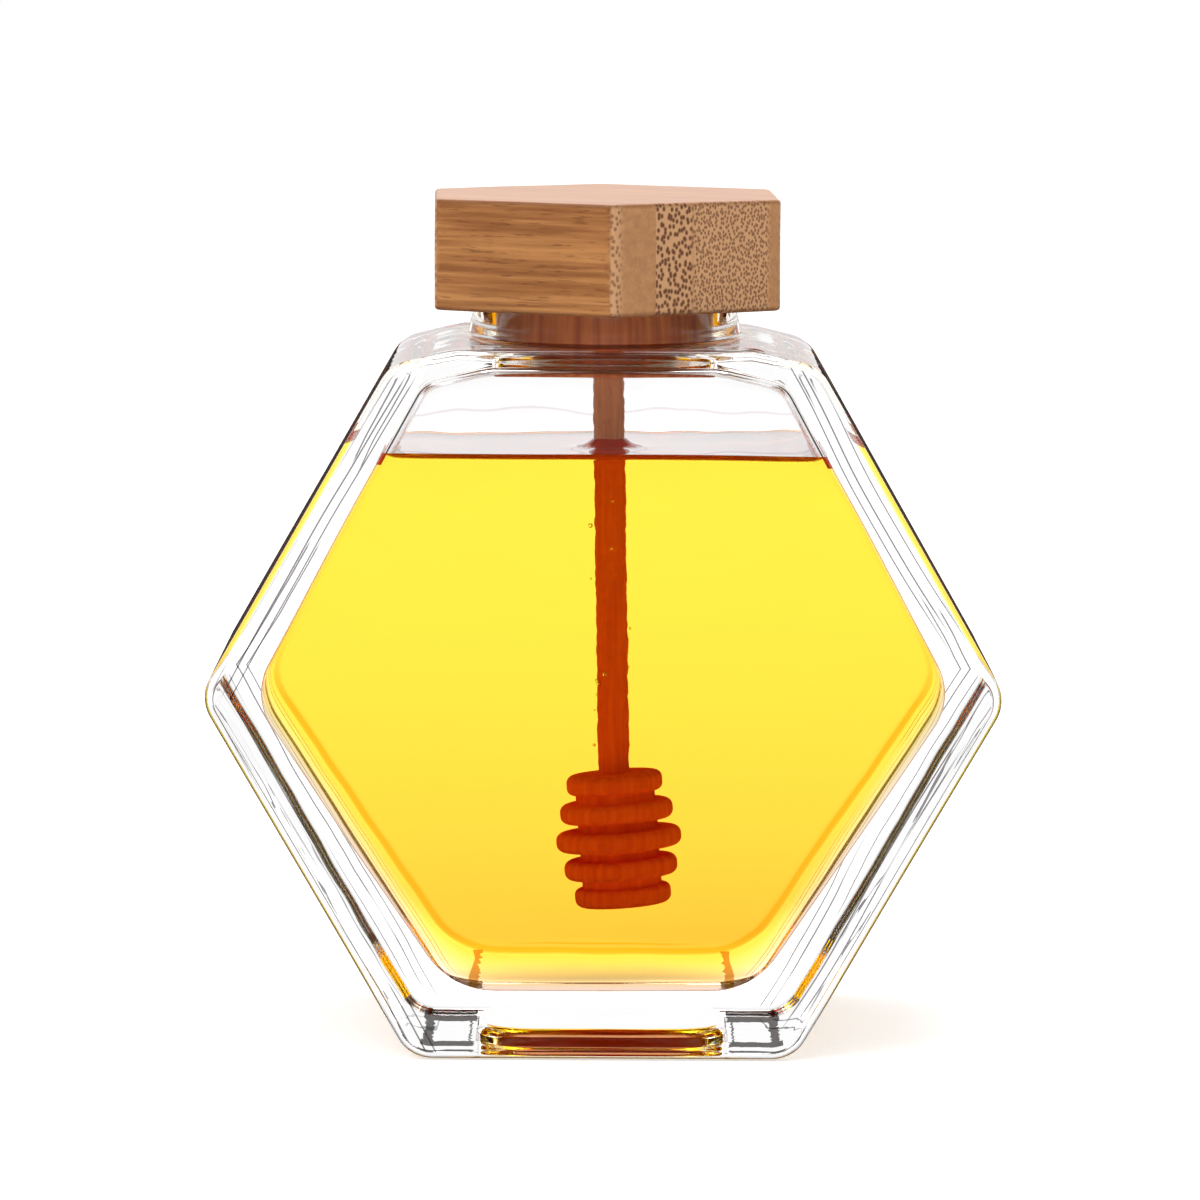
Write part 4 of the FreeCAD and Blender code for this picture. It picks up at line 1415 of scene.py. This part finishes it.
class AddBubbles(bpy.types.Operator):
    """Add the small bubbles that cling to the rod in the honey"""

    bl_idname = "honey_jar.add_bubbles"
    bl_label = "Bubbles"

    def execute(self, context):
        sizes = context.scene.bubble_sizes
        dipper = context.scene.dipper_sizes
        head_top = dipper_head_top(dipper)[0]
        high = HONEY_HIGH.z - 4 * MM
        values = {
            "Count": sizes.count, "Seed": sizes.seed, "Smallest": sizes.smallest,
            "Largest": sizes.largest, "Nearest": dipper.rod_radius, "Farthest": sizes.away,
            "Low": head_top.z, "High": high, "Lean": dipper.rod_lean, "Offset": rod_at(high),
        }
        # air in honey bends light the other way
        air = clear_material("air_bubble_in_honey", 1 / HONEY_IOR)
        piece = run_tree("clinging_bubbles", bubble_tree(), values, air)
        place(piece, "honey")
        return {"FINISHED"}


class StageLook(bpy.types.PropertyGroup):
    """The camera's place, aim and lens."""

    distance: length("Distance", "From the camera to what it looks at", 900 * MM)
    pitch: angle("Pitch", "How far the camera looks down", 7.1)
    roll: angle("Roll", "How far the camera is tilted", 0.26)
    aim_x: FloatProperty(name="Aim X", description="What the camera looks at", default=-0.00055)
    aim_z: length("Aim Z", "What the camera looks at", 66.78 * MM)
    lens: FloatProperty(name="Lens", description="Focal length in mm", default=173.9, min=1)


class SetStage(bpy.types.Operator):
    """Set the floor, the studio light and the camera"""

    bl_idname = "honey_jar.set_stage"
    bl_label = "Stage"

    def execute(self, context):
        look = context.scene.stage_look
        scene = context.scene
        scene.view_settings.view_transform = "Standard"
        for name, count in BOUNCES.items():
            setattr(scene.cycles, name, count)
        set_floor()
        set_world(scene)
        set_lamps(scene)
        set_camera(scene, look)
        return {"FINISHED"}


def set_floor():
    """A wide pale floor that shows the jar's shadow and otherwise reads as white."""
    size, low = FLOOR_HALF, -FLOOR_GAP
    mesh = bpy.data.meshes.new("floor")
    mesh.from_pydata(
        [(-size, -size, low), (size, -size, low), (size, size, low), (-size, size, low)], [],
        [(0, 1, 2, 3)])
    floor = bpy.data.objects.new("floor", mesh)
    bpy.context.scene.collection.objects.link(floor)
    material, tree = new_material("white_paper_floor")
    paper, dim, amber = (
        add(tree, DIFFUSE, {"Color": shade})
        for shade in ((0.85, 0.85, 0.85, 1), (0.04, 0.04, 0.04, 1), "#B4571E"))
    paths = add(tree, "ShaderNodeLightPath").outputs
    through_glass = paths["Is Transmission Ray"]
    spot = add(tree, COORDINATES).outputs["Object"]
    away = add(tree, VECTOR_MATH, (spot,), "LENGTH")
    # dim in mirrors; right under the jar, where it is seen through the glass, a painted amber
    # shadow of the light that comes through the honey
    mirrored = add(tree, MATH, (paths["Is Glossy Ray"], through_glass), "SUBTRACT",
                   use_clamp=True)
    under = add(tree, MAP_RANGE, (away, 0.022, 0.03, 1.0, 0.0))
    under = add(tree, MATH, (under, through_glass), "MULTIPLY")
    sheet = add(tree, "ShaderNodeMixShader", (mirrored, paper, dim))
    sheet = add(tree, "ShaderNodeMixShader", (under, sheet, amber))
    # it glows a little, the most in a ring round the jar where it is seen through the glass
    clear = add(tree, MAP_RANGE, (away, 0.03, 0.05, 0.0, 0.75), interpolation_type="SMOOTHSTEP")
    fade = add(tree, MAP_RANGE, (away, 0.068, 0.1, 1.0, 0.35), interpolation_type="SMOOTHSTEP")
    ringed = add(tree, MATH, (clear, fade), "MULTIPLY")
    ringed = add(tree, MATH, (ringed, through_glass), "MULTIPLY")
    strength = add(tree, MATH, (paths["Is Camera Ray"], 0.5, ringed), "MULTIPLY_ADD")
    glow = add(tree, "ShaderNodeEmission", {"Color": WHITE, "Strength": strength})
    both = add(tree, "ShaderNodeAddShader", (sheet, glow))
    add(tree, OUTPUT, {"Surface": both})
    mesh.materials.append(material)


def set_world(scene):
    """White all round level with the jar but for dim corners, and a soft light over it."""
    world = bpy.data.worlds.new("studio")
    scene.world = world
    world.use_nodes = True
    tree = world.node_tree
    tree.nodes.clear()
    paths = add(tree, "ShaderNodeLightPath").outputs
    x_way, y_way, z_way = add(tree, SPLIT, (add(tree, COORDINATES).outputs["Object"],)).outputs
    aside = add(tree, MATH, (x_way,), "ABSOLUTE")
    ahead = add(tree, MATH, (y_way,), "ABSOLUTE")
    back = add(tree, MATH, (y_way, aside), "SUBTRACT")
    squarely = add(tree, MATH, (aside, ahead), "MAXIMUM")
    bright = add(tree, MAP_RANGE, (back, -0.6, -0.1, DIM, 1.0), interpolation_type="SMOOTHSTEP")
    for other in (
        add(tree, MAP_RANGE, (z_way, 0.75, 0.9, DIM, 0.9), interpolation_type="SMOOTHSTEP"),
        add(tree, MAP_RANGE, (squarely, 0.93, 0.97, DIM, 0.9)),
    ):
        bright = add(tree, MATH, (bright, other), "MAXIMUM")
    soft, studio, white = (
        add(tree, "ShaderNodeBackground", {"Color": WHITE, "Strength": strength})
        for strength in (0.8, bright, 1.0))
    bent = add(tree, MATH, (paths["Is Glossy Ray"], paths["Is Transmission Ray"]), "MAXIMUM")
    lit = add(tree, "ShaderNodeMixShader", (bent, soft, studio))
    both = add(tree, "ShaderNodeMixShader", (paths["Is Camera Ray"], lit, white))
    add(tree, "ShaderNodeOutputWorld", {"Surface": both})


def set_lamps(scene):
    for name, place_at, size, power in LAMPS:
        data = bpy.data.lights.new(name, "AREA")
        data.size = size
        data.energy = power
        lamp = bpy.data.objects.new(name, data)
        lamp.location = place_at
        aim = Vector((0, 0, 0.06)) - Vector(place_at)
        lamp.rotation_euler = aim.to_track_quat("-Z", "Y").to_euler()
        scene.collection.objects.link(lamp)


def set_camera(scene, look):
    data = bpy.data.cameras.new("camera")
    data.sensor_width = 36.0
    data.lens = look.lens
    data.clip_start = 0.01
    data.clip_end = 20.0
    camera = bpy.data.objects.new("camera", data)
    aim = Vector((look.aim_x, 0, look.aim_z))
    back = Vector((0, -math.cos(look.pitch), math.sin(look.pitch)))
    camera.location = aim + back * look.distance
    facing = (-back).to_track_quat("-Z", "Y").to_matrix()
    camera.rotation_euler = (facing @ Matrix.Rotation(look.roll, 3, "Z")).to_euler()
    scene.collection.objects.link(camera)
    scene.camera = camera


class HoneyJarPanel(bpy.types.Panel):
    """The pieces of the honey jar, in the order they are built"""

    bl_idname = "HONEY_JAR_PT_pieces"
    bl_label = "Honey Jar"
    bl_space_type = "VIEW_3D"
    bl_region_type = "UI"
    bl_category = "Honey Jar"

    def draw(self, context):
        for operator in OPERATORS:
            self.layout.operator(operator.bl_idname)


OPERATORS = (
    AddGlassJar, AddHoney, AddLid, AddStopper, AddDipper, AddBubbles, SetStage)
SETTINGS = (
    ("jar_sizes", JarSizes), ("honey_look", HoneyLook), ("lid_sizes", LidSizes),
    ("stopper_sizes", StopperSizes), ("dipper_sizes", DipperSizes),
    ("bubble_sizes", BubbleSizes), ("stage_look", StageLook),
)


def register():
    for name, group in SETTINGS:
        bpy.utils.register_class(group)
        setattr(bpy.types.Scene, name, PointerProperty(type=group))
    for kind in OPERATORS + (HoneyJarPanel,):
        bpy.utils.register_class(kind)


def unregister():
    for kind in reversed(OPERATORS + (HoneyJarPanel,)):
        bpy.utils.unregister_class(kind)
    for name, group in reversed(SETTINGS):
        delattr(bpy.types.Scene, name)
        bpy.utils.unregister_class(group)


def main():
    register()
    bpy.ops.honey_jar.add_glass()
    bpy.ops.honey_jar.add_honey()
    bpy.ops.honey_jar.add_lid()
    bpy.ops.honey_jar.add_stopper()
    bpy.ops.honey_jar.add_dipper()
    bpy.ops.honey_jar.add_bubbles()
    bpy.ops.honey_jar.set_stage()


if __name__ == "__main__":
    main()
